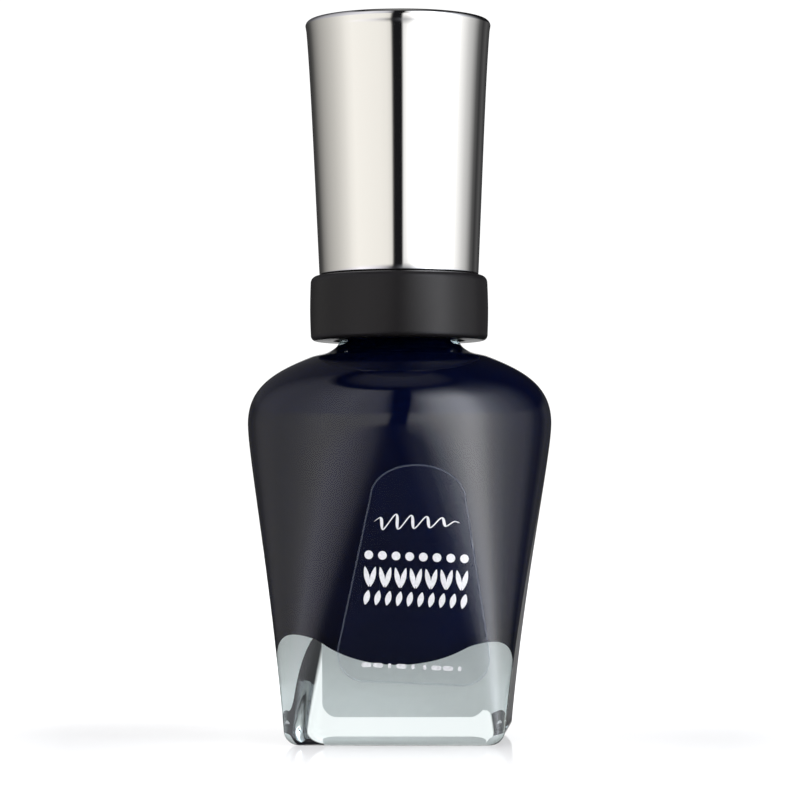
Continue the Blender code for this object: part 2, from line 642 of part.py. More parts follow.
def bristle_tuft():
    """The flat tuft, oval in section, that spreads towards a rounded tip."""
    angles = even_angles(BRUSH_STEPS)
    top = STEM_TIP_Z + SOCKET_DEPTH - STAPLE_HEIGHT - 2 * SEAT_GAP
    spread_z = BRUSH_TIP_Z + TIP_LENGTH
    rings = [
        oval_ring(angles, TUFT_ROOT_HALF_WIDTH, TUFT_ROOT_HALF_THICKNESS, top),
        oval_ring(angles, TUFT_ROOT_HALF_WIDTH, TUFT_ROOT_HALF_THICKNESS, STEM_TIP_Z),
    ]
    for step in range(1, 6):
        share = step / 5
        eased = share * share * (3 - 2 * share)
        width = TUFT_ROOT_HALF_WIDTH + (TUFT_HALF_WIDTH - TUFT_ROOT_HALF_WIDTH) * eased
        thickness = TUFT_ROOT_HALF_THICKNESS
        thickness += (TUFT_HALF_THICKNESS - TUFT_ROOT_HALF_THICKNESS) * eased
        height = STEM_TIP_Z + (spread_z - STEM_TIP_Z) * share
        rings.append(oval_ring(angles, width, thickness, height))
    for step in range(1, 6):
        angle = math.pi / 2 * step / 6
        width = TUFT_HALF_WIDTH * math.cos(angle)
        thickness = TUFT_HALF_THICKNESS * math.cos(angle)
        height = spread_z - (spread_z - BRUSH_TIP_Z) * math.sin(angle)
        rings.append(oval_ring(angles, width, thickness, height))
    tip = TUFT_HALF_WIDTH * TIP_BLUNTNESS
    rings.append(oval_ring(angles, tip, tip * TUFT_HALF_THICKNESS / TUFT_HALF_WIDTH, BRUSH_TIP_Z))
    return loft("bristle_tuft", rings, material("bristles", (0.03, 0.03, 0.03), 0.5), origin_z=STEM_TIP_Z)


# ---- Cap ----


def overcap_radius_at(height):
    """Outer radius of the overcap, a slow flare that opens faster near the top."""
    share = min(1.0, max(0.0, (height - OVERCAP_Z) / OVERCAP_HEIGHT))
    late = (1 - FLARE_EVEN_SHARE) * share**FLARE_LATE_POWER
    return OVERCAP_RADIUS + OVERCAP_FLARE * (FLARE_EVEN_SHARE * share + late)


def fin_angles():
    """Angles round the inner cap, with both edges of each rib."""
    pitch = 2 * math.pi / FIN_COUNT
    foot = FIN_HALF_ANGLE * FIN_FOOT_SPREAD
    offsets = [-foot, -FIN_HALF_ANGLE, FIN_HALF_ANGLE, foot]
    offsets += [pitch * share for share in FIN_GAP_SHARES]
    return [fin * pitch + offset for fin in range(FIN_COUNT) for offset in offsets]


def inner_cap():
    """The inner cap: a threaded skirt, a ceiling with a socket for the brush, and a ribbed core above."""
    angles = fin_angles()
    pitch = 2 * math.pi / FIN_COUNT
    fin_low = OVERCAP_Z + FIN_SETBACK
    fin_high = CORE_TOP_Z - FIN_SETBACK

    def outer_radius(angle, height):
        from_fin = abs((angle + pitch / 2) % pitch - pitch / 2)
        if from_fin > FIN_HALF_ANGLE * (1 + FIN_FOOT_SPREAD) / 2 or not fin_low <= height <= fin_high:
            return SKIRT_RADIUS
        return overcap_radius_at(height) - OVERCAP_WALL - SEAT_GAP

    rings = [round_ring(angles, SKIRT_RADIUS - EDGE_BREAK, CORE_TOP_Z)]
    rings.append(round_ring(angles, SKIRT_RADIUS, CORE_TOP_Z - EDGE_BREAK))
    rings.append(round_ring(angles, SKIRT_RADIUS, fin_high + EDGE_BREAK))
    for step in range(6):
        height = fin_high + (fin_low - fin_high) * step / 5
        rings.append(polar_ring(angles, lambda a, height=height: outer_radius(a, height), height))
    rings.append(round_ring(angles, SKIRT_RADIUS, fin_low - EDGE_BREAK))
    rings.append(round_ring(angles, SKIRT_RADIUS, SKIRT_Z + EDGE_BREAK))
    rings.append(round_ring(angles, SKIRT_RADIUS - EDGE_BREAK, SKIRT_Z))
    rings.append(round_ring(angles, CAP_THREAD_ROOT + EDGE_BREAK, SKIRT_Z))
    rings.append(round_ring(angles, CAP_THREAD_ROOT, SKIRT_Z + EDGE_BREAK))

    start_z = THREAD_START_Z - THREAD_PITCH / 2
    turns = THREAD_TURNS - CAP_THREAD_FIRST_TURN
    low = start_z + CAP_THREAD_FIRST_TURN * THREAD_PITCH - THREAD_BASE_WIDTH / 2
    high = start_z + THREAD_TURNS * THREAD_PITCH + THREAD_BASE_WIDTH / 2
    for height in thread_levels(low, high):

        def threaded(angle, height=height):
            share = thread_height(angle, height, start_z, CAP_THREAD_FIRST_TURN, turns)
            return CAP_THREAD_ROOT - THREAD_DEPTH * share

        rings.append(polar_ring(angles, threaded, height))
    socket = SPIGOT_RADIUS + RUNNING_CLEARANCE
    core_inner = SKIRT_RADIUS - SKIRT_WALL
    rings.append(round_ring(angles, CAP_THREAD_ROOT, CEILING_Z))
    rings.append(round_ring(angles, socket, CEILING_Z))
    rings.append(round_ring(angles, socket, CEILING_TOP_Z))
    rings.append(round_ring(angles, core_inner, CEILING_TOP_Z))
    rings.append(round_ring(angles, core_inner, CORE_TOP_Z))
    return loft("inner_cap", rings, material("cap_plastic", (0.02, 0.02, 0.02), 0.4), closed=True)


def collar_ring():
    """The satin collar, which grips the inner cap's skirt and hooks under its rim."""
    inner = SKIRT_RADIUS + SEAT_GAP
    lip_inner = BEAD_RADIUS + 2 * BEAD_CLEARANCE
    top_z = COLLAR_Z + COLLAR_HEIGHT
    outline = arc((COLLAR_RADIUS - COLLAR_TOP_EDGE, top_z - COLLAR_TOP_EDGE), COLLAR_TOP_EDGE, 90, 0, 5)
    middle_z = COLLAR_Z + COLLAR_HEIGHT * COLLAR_CROWN_SHARE
    outline.append((COLLAR_RADIUS + COLLAR_CROWN, middle_z))
    outline += arc((COLLAR_RADIUS - COLLAR_LOW_EDGE, COLLAR_Z + COLLAR_LOW_EDGE), COLLAR_LOW_EDGE, 0, -90, 4)
    outline += [(lip_inner, COLLAR_Z), (lip_inner, COLLAR_Z + COLLAR_LIP_THICKNESS)]
    seat_z = SKIRT_Z - SEAT_GAP
    outline += [(inner - EDGE_BREAK, seat_z), (inner, seat_z + EDGE_BREAK), (inner, top_z)]
    return turned("collar_ring", outline, material("collar_satin", (0.02, 0.02, 0.02), 0.4))


def overcap():
    """The plated overcap, a flared shell that is closed at the top."""
    inside_top = OVERCAP_TOP_Z - OVERCAP_TOP_THICKNESS
    edge_radius = overcap_radius_at(OVERCAP_TOP_Z) - OVERCAP_EDGE
    outline = [(0, OVERCAP_TOP_Z)]
    outline += arc((edge_radius, OVERCAP_TOP_Z - OVERCAP_EDGE), OVERCAP_EDGE, 90, 0, 5)
    wall_top = OVERCAP_TOP_Z - 2 * OVERCAP_EDGE
    stations = [wall_top + (OVERCAP_Z + EDGE_BREAK - wall_top) * (step / 9) for step in range(10)]
    outline += [(overcap_radius_at(height), height) for height in stations]
    outline.append((OVERCAP_RADIUS - EDGE_BREAK, OVERCAP_Z))
    outline.append((OVERCAP_INNER_RADIUS + EDGE_BREAK / 2, OVERCAP_Z))
    inside_low = OVERCAP_Z + EDGE_BREAK
    inside = [inside_low + (inside_top - inside_low) * (step / 9) for step in range(10)]
    outline += [(overcap_radius_at(height) - OVERCAP_WALL, height) for height in inside]
    outline.append((0, inside_top))
    look = material("chrome_plating", (0.8, 0.79, 0.78), 0.05, metallic=1.0)
    return turned("overcap", outline, look, closed=False)


def main():
    clear_scene()
    glass_bottle()
    lacquer_fill()
    mixing_balls()
    front_label()
    rear_label()
    base_label()
    sealing_washer()
    brush_stem()
    bristle_staple()
    bristle_tuft()
    inner_cap()
    collar_ring()
    overcap()


main()
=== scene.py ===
"""Nail polish bottle with its brush cap: finished surfaces, studio and camera on the packed frame.

Every piece is built at its own place, in metres, +Z up, with the front of the bottle at -Y, and
rides on the body of the frame that carries it.
"""

import math
import random

import bpy
from bpy.props import FloatProperty, FloatVectorProperty, IntProperty, PointerProperty
from bpy.types import Operator, Panel, PropertyGroup
from mathutils import Euler, Matrix, Vector


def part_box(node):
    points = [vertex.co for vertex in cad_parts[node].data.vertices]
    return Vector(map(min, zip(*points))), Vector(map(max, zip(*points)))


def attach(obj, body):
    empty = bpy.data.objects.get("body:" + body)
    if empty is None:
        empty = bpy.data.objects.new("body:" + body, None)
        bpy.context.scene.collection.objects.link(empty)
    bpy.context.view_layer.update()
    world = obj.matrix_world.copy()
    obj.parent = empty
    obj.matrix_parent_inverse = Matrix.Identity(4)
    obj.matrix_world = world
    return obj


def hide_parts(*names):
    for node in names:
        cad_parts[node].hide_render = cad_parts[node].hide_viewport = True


bl_info = {
    "name": "Nail Polish Bottle",
    "version": (1, 0, 0),
    "blender": (4, 5, 0),
    "location": "3D View > Sidebar > Nail Polish",
    "description": "Builds a heavy glass nail polish bottle with its brush cap, and a pale studio",
    "category": "Object",
}

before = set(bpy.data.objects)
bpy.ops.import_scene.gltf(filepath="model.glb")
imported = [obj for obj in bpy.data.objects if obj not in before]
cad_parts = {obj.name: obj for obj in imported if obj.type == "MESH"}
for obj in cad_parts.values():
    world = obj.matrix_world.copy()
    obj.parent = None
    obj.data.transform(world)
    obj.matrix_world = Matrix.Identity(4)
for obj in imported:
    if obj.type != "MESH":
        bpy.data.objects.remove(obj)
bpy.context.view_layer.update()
GLASS_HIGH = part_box("glass_bottle")[1]
LACQUER_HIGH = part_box("lacquer_fill")[1]
WASHER_LOW, WASHER_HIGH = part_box("sealing_washer")
STEM_LOW, STEM_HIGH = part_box("brush_stem")
TUFT_LOW, TUFT_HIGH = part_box("bristle_tuft")
COLLAR_LOW, COLLAR_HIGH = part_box("collar_ring")
OVERCAP_LOW, OVERCAP_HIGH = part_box("overcap")
REAR_FILM_LOW, REAR_FILM_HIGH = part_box("rear_label")

DIAGONAL = math.sqrt(2)  # of a square, for a side of one


def length(name, description, default):
    return FloatProperty(
        name=name, description=description, default=default, precision=5, unit="LENGTH", min=0.0
    )


def number(name, description, default, low=0.0, high=1.0):
    return FloatProperty(name=name, description=description, default=default, min=low, max=high)


def turn_angle(name, description, degrees):
    return FloatProperty(
        name=name, description=description, default=math.radians(degrees), subtype="ANGLE"
    )


def colour(name, description, default):
    return FloatVectorProperty(
        name=name, description=description, default=default, subtype="COLOR", size=3, min=0, max=1
    )


# ---- Settings ----


class BottleSettings(PropertyGroup):
    """Sizes and colours of the glass bottle and what it holds."""

    foot_half_width: length("Foot", "Half the width across the flats at the foot", 0.01336)
    foot_fillet: length("Foot rounding", "Rounding of the foot's outer edge", 0.0019)
    foot_corner: length("Foot corner", "Radius of the upright corners at the foot", 0.0017)
    shoulder_radius: length("Shoulder", "Radius at the widest place", GLASS_HIGH.x)
    shoulder_height: length("Shoulder height", "Height of the widest place", 0.03913)
    dome_height: length("Dome", "Height of the dome above the widest place", 0.00830)
    dome_top_radius: length("Dome top", "Radius where the dome meets the neck", 0.0110)
    base_thickness: length("Base", "Solid glass under the cavity", 0.0101)
    bowl_depth: length("Bowl", "Depth of the cavity's rounded floor", 0.0080)
    foot_wall: length("Low wall", "Glass beside the cavity, low down", 0.0032)
    shoulder_wall: length("Shoulder wall", "Glass beside the cavity at the shoulder", 0.0050)
    push_up_radius: length("Push-up", "Radius of the hollow under the base", 0.0092)
    push_up_depth: length("Push-up depth", "Depth of the hollow under the base", 0.0006)
    neck_radius: length("Neck", "Radius of the neck at the thread's root", 0.0066)
    bore_radius: length("Bore", "Radius of the bore", 0.0042)
    thread_pitch: length("Thread pitch", "Rise of the thread in one turn", 0.00212)
    thread_depth: length("Thread depth", "How far the thread stands out", 0.0007)
    thread_turns: number("Thread turns", "Length of the thread in turns", 1.75, 0.5, 4)
    glass_tint: colour("Glass tint", "Colour that deep glass takes on", (0.60, 0.88, 0.87))
    lacquer: colour("Lacquer", "Colour of the lacquer", (0.0008, 0.0027, 0.0190))
    lacquer_streak: colour("Lacquer streak", "Colour of its lighter streaks", (0.0014, 0.0036, 0.0240))


class LabelSettings(PropertyGroup):
    """Sizes and colours of the labels and their plain print."""

    low_half_width: length("Low half width", "Of the straight sides at the label's foot", 0.0099)
    high_half_width: length("High half width", "Where the arch starts", 0.0058)
    arch: length("Arch", "Height of the arched top", 0.0040)
    corner: length("Corner", "Radius of the low corners", 0.0042)
    offset: length("Offset", "From the middle of the face to the label's middle", 0.0030)
    tilt: turn_angle("Tilt", "Lean of the label", 2.6)
    gap: length("Gap", "Between a label and the glass", 0.00006)
    thickness: length("Thickness", "Of a label's film", 0.00008)
    rear_half_width: length("Rear half width", "Of the rear label", 0.0102)
    rear_corner: length("Rear corner", "Corner radius of the rear label", 0.0020)
    print_white: colour("Print", "Colour of the front label's print", (0.90, 0.90, 0.91))
    print_grey: colour("Rear print", "Colour of the rear label's print", (0.16, 0.17, 0.20))


class BrushSettings(PropertyGroup):
    """Sizes and colours of the brush."""

    stem_radius: length("Stem", "Radius of the stem under its flange", 0.0030)
    stem_tip_radius: length("Stem tip", "Radius at the lower end of the stem", 0.0021)
    taper_start: length("Taper start", "From the flange down to where the stem tapers", 0.0040)
    flange_radius: length("Flange", "Radius of the flange on the lip", 0.0061)
    flange_thickness: length("Flange thickness", "Thickness of the flange", 0.0009)
    spigot_radius: length("Spigot", "Radius of the spigot that snaps into the cap", 0.0026)
    bristle_length: length("Bristles", "Length that shows below the stem", 0.0135)
    root_half_width: length("Root width", "Half width of the tuft in its socket", 0.00135)
    root_half_thickness: length("Root thickness", "Half thickness in its socket", 0.00085)
    tip_length: length("Tip", "Length of the rounded tip", 0.0032)
    filaments: IntProperty(name="Filaments", description="Number of bristles", default=230, min=20)
    filament_radius: length("Filament", "Radius of one bristle", 0.00007)
    stem_black: colour("Stem colour", "Colour of the stem", (0.012, 0.012, 0.014))


class CapSettings(PropertyGroup):
    """Sizes and colours of the cap."""

    overcap_radius: length("Overcap", "Radius at the overcap's lower rim", 0.0099)
    overcap_flare: length("Flare", "How far the overcap opens towards its top", 0.00165)
    even_share: number("Even flare", "Share of the flare that opens evenly", 0.85)
    overcap_wall: length("Overcap wall", "Thickness of its wall", 0.0010)
    overcap_top: length("Overcap top", "Thickness of its top", 0.0014)
    overcap_edge: length("Overcap edge", "Rounding of its top edge", 0.0007)
    collar_crown: length("Collar crown", "How far the collar's side swells", 0.00008)
    collar_top_edge: length("Collar top edge", "Rounding of its top edge", 0.0009)
    collar_low_edge: length("Collar low edge", "Rounding of its low edge", 0.0007)
    collar_lip: length("Collar lip", "Thickness of the collar's inner hook", 0.0009)
    skirt_radius: length("Skirt", "Radius of the inner cap that the collar grips", 0.00875)
    chrome: colour("Plating", "Colour of the plating", (0.655, 0.648, 0.632))
    collar_black: colour("Collar colour", "Colour of the collar", (0.0105, 0.0095, 0.0100))


class StudioSettings(PropertyGroup):
    """Camera, floor and light of the studio."""

    camera_azimuth: turn_angle("Camera azimuth", "From straight in front, to the right", 4.0)
    camera_distance: length("Camera distance", "From the bottle's axis", 0.421)
    camera_height: length("Camera height", "Above the floor", 0.02815)
    camera_pitch: turn_angle("Camera pitch", "Upward tilt", 1.892)
    camera_yaw: turn_angle("Camera yaw", "Turn to the right", 0.0085)
    camera_roll: turn_angle("Camera roll", "Clockwise roll", 0.24)
    focal_length: number("Focal length", "In millimetres, on a 36 mm sensor", 152.5, 10, 400)
    floor_half_width: length("Floor", "Half the width of the floor", 2.4)
    light_level: number("Light", "Level of the soft boxes", 1.0, 0.0, 10.0)


# ---- Materials ----


class Nodes:
    """A node tree, with a short way to add nodes that are already fed."""

    def __init__(self, tree):
        self.tree = tree

    def feed(self, socket, source):
        """Links a socket to another node, or gives it a value."""
        if isinstance(source, bpy.types.NodeSocket):
            self.tree.links.new(source, socket)
        else:
            socket.default_value = source

    def node(self, kind, sockets=None, **values):
        node = self.tree.nodes.new(kind)
        for key, value in values.items():
            setattr(node, key, value)
        for socket, source in (sockets or {}).items():
            self.feed(node.inputs[socket], source)
        return node

    def ranged(self, source, low, high, from_low=0.0, from_high=1.0):
        """A level that runs from low to high while its source runs between its own two ends."""
        ends = {"From Min": from_low, "From Max": from_high, "To Min": low, "To Max": high}
        return self.node("ShaderNodeMapRange", {"Value": source, **ends}).outputs["Result"]


class Surface(Nodes):
    """A material with its nodes at hand."""

    def __init__(self, name, base, roughness, metallic=0.0):
        self.material = bpy.data.materials.new(name)
        self.material.use_nodes = True
        super().__init__(self.material.node_tree)
        self.shader = self.tree.nodes["Principled BSDF"]
        self.output = self.tree.nodes["Material Output"]
        self.material.diffuse_color = (*base, 1.0)
        self.set({"Base Color": (*base, 1.0), "Roughness": roughness, "Metallic": metallic})

    def set(self, sockets):
        """Feeds the shader's own sockets."""
        for socket, source in sockets.items():
            self.feed(self.shader.inputs[socket], source)

    def place(self):
        """Places on the piece, in metres, which move with it."""
        return self.node("ShaderNodeTexCoord").outputs["Object"]

    def noise(self, scale, detail, stretch=(1.0, 1.0, 1.0)):
        mapping = self.node("ShaderNodeMapping", {"Vector": self.place(), "Scale": stretch})
        sockets = {"Vector": mapping.outputs["Vector"], "Scale": scale, "Detail": detail}
        return self.node("ShaderNodeTexNoise", sockets).outputs["Fac"]

    def blended(self, share, first, second):
        sockets = {"Factor": share, "A": (*first, 1.0), "B": (*second, 1.0)}
        return self.node("ShaderNodeMix", sockets, data_type="RGBA").outputs["Result"]

    def vary_roughness(self, scale, low, high, *stretch):
        self.set({"Roughness": self.ranged(self.noise(scale, 3.0, *stretch), low, high)})

    def vary_colour(self, scale, first, second, *stretch):
        share = self.ranged(self.noise(scale, 3.0, *stretch), 0.0, 1.0, 0.35, 0.65)
        self.set({"Base Color": self.blended(share, first, second)})

    def bump(self, source, height, strength):
        sockets = {"Height": source, "Distance": height, "Strength": strength}
        self.set({"Normal": self.node("ShaderNodeBump", sockets).outputs["Normal"]})

    def grain(self, scale, detail, height, strength, *stretch):
        """Fine unevenness of this height, in metres."""
        self.bump(self.noise(scale, detail, *stretch), height, strength)


def finish(name, base, roughness, metallic=0.0, sockets=None, rough=None, shades=None, grain=None):
    """A finish that varies in roughness and in colour, with a fine grain."""
    surface = Surface(name, base, roughness, metallic)
    surface.set(sockets or {})
    if rough:
        surface.vary_roughness(*rough)
    if shades:
        surface.vary_colour(*shades)
    if grain:
        surface.grain(*grain)
    return surface.material


def clear_glass(settings):
    """Clear flint glass with the slow waviness of a moulded bottle, and a cold tint where it is deep.
    Its reflections are dimmed towards grazing angles: painted shade along its edges.
    """
    surface = Surface("clear_glass", (1.0, 1.0, 1.0), 0.0)
    surface.set({"Transmission Weight": 1.0, "IOR": 1.5})
    surface.grain(95.0, 1.0, 0.00004, 0.35)
    facing = surface.node("ShaderNodeLayerWeight", {"Blend": 0.5}).outputs["Facing"]
    # Reflections fade to a third towards grazing angles: painted shade along the glass's edges.
    surface.set({"Specular Tint": surface.ranged(facing, 1.0, 0.33, 0.12, 0.62)})
    depth = {"Color": (*settings.glass_tint, 1.0), "Density": 9.0}
    volume = surface.node("ShaderNodeVolumeAbsorption", depth)
    surface.feed(surface.output.inputs["Volume"], volume.outputs["Volume"])
    return surface.material


def navy_lacquer(settings):
    """The lacquer behind the glass: a deep colour with faint streaks, and no gloss of its own."""
    shades = (70.0, settings.lacquer, settings.lacquer_streak, (1.0, 1.0, 0.35))
    return finish(
        "navy_lacquer", settings.lacquer, 0.5, sockets={"Specular IOR Level": 0.0}, shades=shades
    )


def wet_lacquer(settings):
    """Lacquer in the open air, wet and glossy."""
    return finish(
        "wet_lacquer",
        settings.lacquer,
        0.04,
        sockets={"Coat Weight": 1.0, "Coat Roughness": 0.02},
        shades=(400.0, settings.lacquer, settings.lacquer_streak),
        grain=(700.0, 2.0, 0.00003, 0.4),
    )


def clear_film():
    """The label's clear film: a faint satin skin."""
    return finish(
        "clear_film", (0.03, 0.04, 0.10), 0.30, sockets={"Alpha": 0.05}, rough=(900.0, 0.24, 0.38)
    )


def film_edge_painted_glint():
    """The film's cut edge, a lighter band than the film: a painted glint."""
    return finish(
        # The lighter colour is a painted glint along the film's edge.
        "film_edge_painted_glint", (0.32, 0.36, 0.46), 0.22, sockets={"Alpha": 0.15}, rough=(1500.0, 0.12, 0.4)
    )


def print_ink(name, ink, rub):
    """Screen-printed ink, slightly uneven."""
    shades = (3200.0, ink, tuple(channel * rub for channel in ink))
    return finish(name, ink, 0.45, shades=shades, grain=(5200.0, 2.0, 0.000008, 0.5))


def label_paper():
    """White label film with a satin face, and a faint glow: painted light standing in for backdrop light
    that shines through the film.
    """
    return finish(
        "label_paper",
        (0.78, 0.78, 0.77),
        0.42,
        # The emission is a painted glow, standing in for light that comes through the film from behind.
        sockets={"Emission Color": (0.96, 0.98, 0.97, 1.0), "Emission Strength": 0.30},
        shades=(700.0, (0.79, 0.79, 0.78), (0.74, 0.74, 0.735)),
        grain=(4200.0, 2.0, 0.00001, 0.4),
    )


def base_sticker(settings, radius):
    """The round shade sticker: white with a ring and a middle in the lacquer's colour."""
    surface = Surface("base_sticker", (0.8, 0.8, 0.8), 0.4)
    flat = {0: surface.place(), 1: (1.0, 1.0, 0.0)}
    flat = surface.node("ShaderNodeVectorMath", flat, operation="MULTIPLY").outputs["Vector"]
    measure = surface.node("ShaderNodeVectorMath", {0: flat}, operation="LENGTH").outputs["Value"]
    share = surface.ranged(measure, 0.0, 1.0, 0.0, radius)
    ramp = surface.node("ShaderNodeValToRGB", {"Fac": share})
    ramp.color_ramp.interpolation = "CONSTANT"
    ink = (*(channel * 2 for channel in settings.lacquer), 1.0)
    white = (0.8, 0.8, 0.79, 1.0)
    first, last = ramp.color_ramp.elements
    first.color, last.color = ink, white
    last.position = 0.42
    for position, shade in ((0.80, ink), (0.86, white)):
        ramp.color_ramp.elements.new(position).color = shade
    surface.set({"Base Color": ramp.outputs["Color"]})
    surface.grain(3800.0, 2.0, 0.00001, 0.4)
    return surface.material


def polished_steel(name, base, low, high):
    """Bright steel with fine polishing marks."""
    return finish(name, base, low, 1.0, rough=(1400.0, low, high), grain=(1800.0, 3.0, 0.00001, 0.3))


def washer_foam():
    """Expanded liner foam, with its fine closed cells."""
    surface = Surface("washer_foam", (0.80, 0.80, 0.77), 0.75)
    surface.vary_colour(900.0, (0.82, 0.82, 0.79), (0.74, 0.74, 0.71))
    cells = surface.node("ShaderNodeTexVoronoi", {"Vector": surface.place(), "Scale": 5200.0})
    surface.bump(cells.outputs["Distance"], 0.00004, 0.7)
    return surface.material


def stem_plastic(settings, lacquer, level):
    """Black moulded stem. Below the lacquer's level it comes out wet."""
    surface = Surface("stem_plastic", settings.stem_black, 0.3)
    height = surface.node("ShaderNodeSeparateXYZ", {"Vector": surface.place()}).outputs["Z"]
    ragged = {0: surface.noise(420.0, 2.0), 1: 0.0022, 2: height}
    ragged = surface.node("ShaderNodeMath", ragged, operation="MULTIPLY_ADD").outputs["Value"]
    dry = surface.ranged(ragged, 0.0, 1.0, level, level + 0.0006)
    surface.set({"Base Color": surface.blended(dry, lacquer, settings.stem_black)})
    surface.set({"Roughness": surface.ranged(dry, 0.05, 0.36)})
    surface.grain(2600.0, 2.0, 0.00001, 0.5)
    return surface.material


def bristle_nylon(lacquer):
    """Dark nylon filaments, wet with lacquer."""
    shades = (2200.0, lacquer, (0.010, 0.012, 0.028), (1.0, 1.0, 0.1))
    wet = {"Coat Weight": 0.8, "Coat Roughness": 0.06}
    return finish("bristles", lacquer, 0.16, sockets=wet, shades=shades)


def cap_plastic():
    """The inner cap's black moulding, with a fine spark texture."""
    grain = (3600.0, 3.0, 0.00002, 0.5)
    return finish("cap_plastic", (0.014, 0.014, 0.015), 0.5, rough=(1800.0, 0.4, 0.6), grain=grain)


def collar_satin(settings):
    """Satin black plastic with an almost invisible grain."""
    return finish(
        "collar_satin",
        settings.collar_black,
        0.3,
        sockets={"Specular IOR Level": 0.18},
        rough=(900.0, 0.27, 0.36),
        grain=(4200.0, 2.0, 0.000012, 0.45),
    )


def chrome_plating(settings):
    """Bright plating on plastic, with the slight waviness of the moulding under it."""
    rough = (600.0, 0.035, 0.07, (1.0, 1.0, 0.3))
    wave = (160.0, 1.0, 0.00001, 0.25, (1.0, 1.0, 0.25))
    return finish("chrome_plating", settings.chrome, 0.05, 1.0, rough=rough, grain=wave)


# ---- Outlines of the bottle ----


def bezier(start, lead, trail, end, count):
    """Points of a cubic curve, without its start, so that stretches can be chained."""
    points = []
    for step in range(1, count + 1):
        t = step / count
        s = 1 - t
        weights = (s**3, 3 * s * s * t, 3 * s * t * t, t**3)
        knots = (start, lead, trail, end)
        points.append(tuple(sum(w * p[axis] for w, p in zip(weights, knots)) for axis in (0, 1)))
    return points


def arc(centre, radius, from_degrees, to_degrees, count):
    """Points of a circular arc, with both ends."""
    points = []
    for step in range(count + 1):
        angle = math.radians(from_degrees + (to_degrees - from_degrees) * step / count)
        points.append((centre[0] + radius * math.cos(angle), centre[1] + radius * math.sin(angle)))
    return points


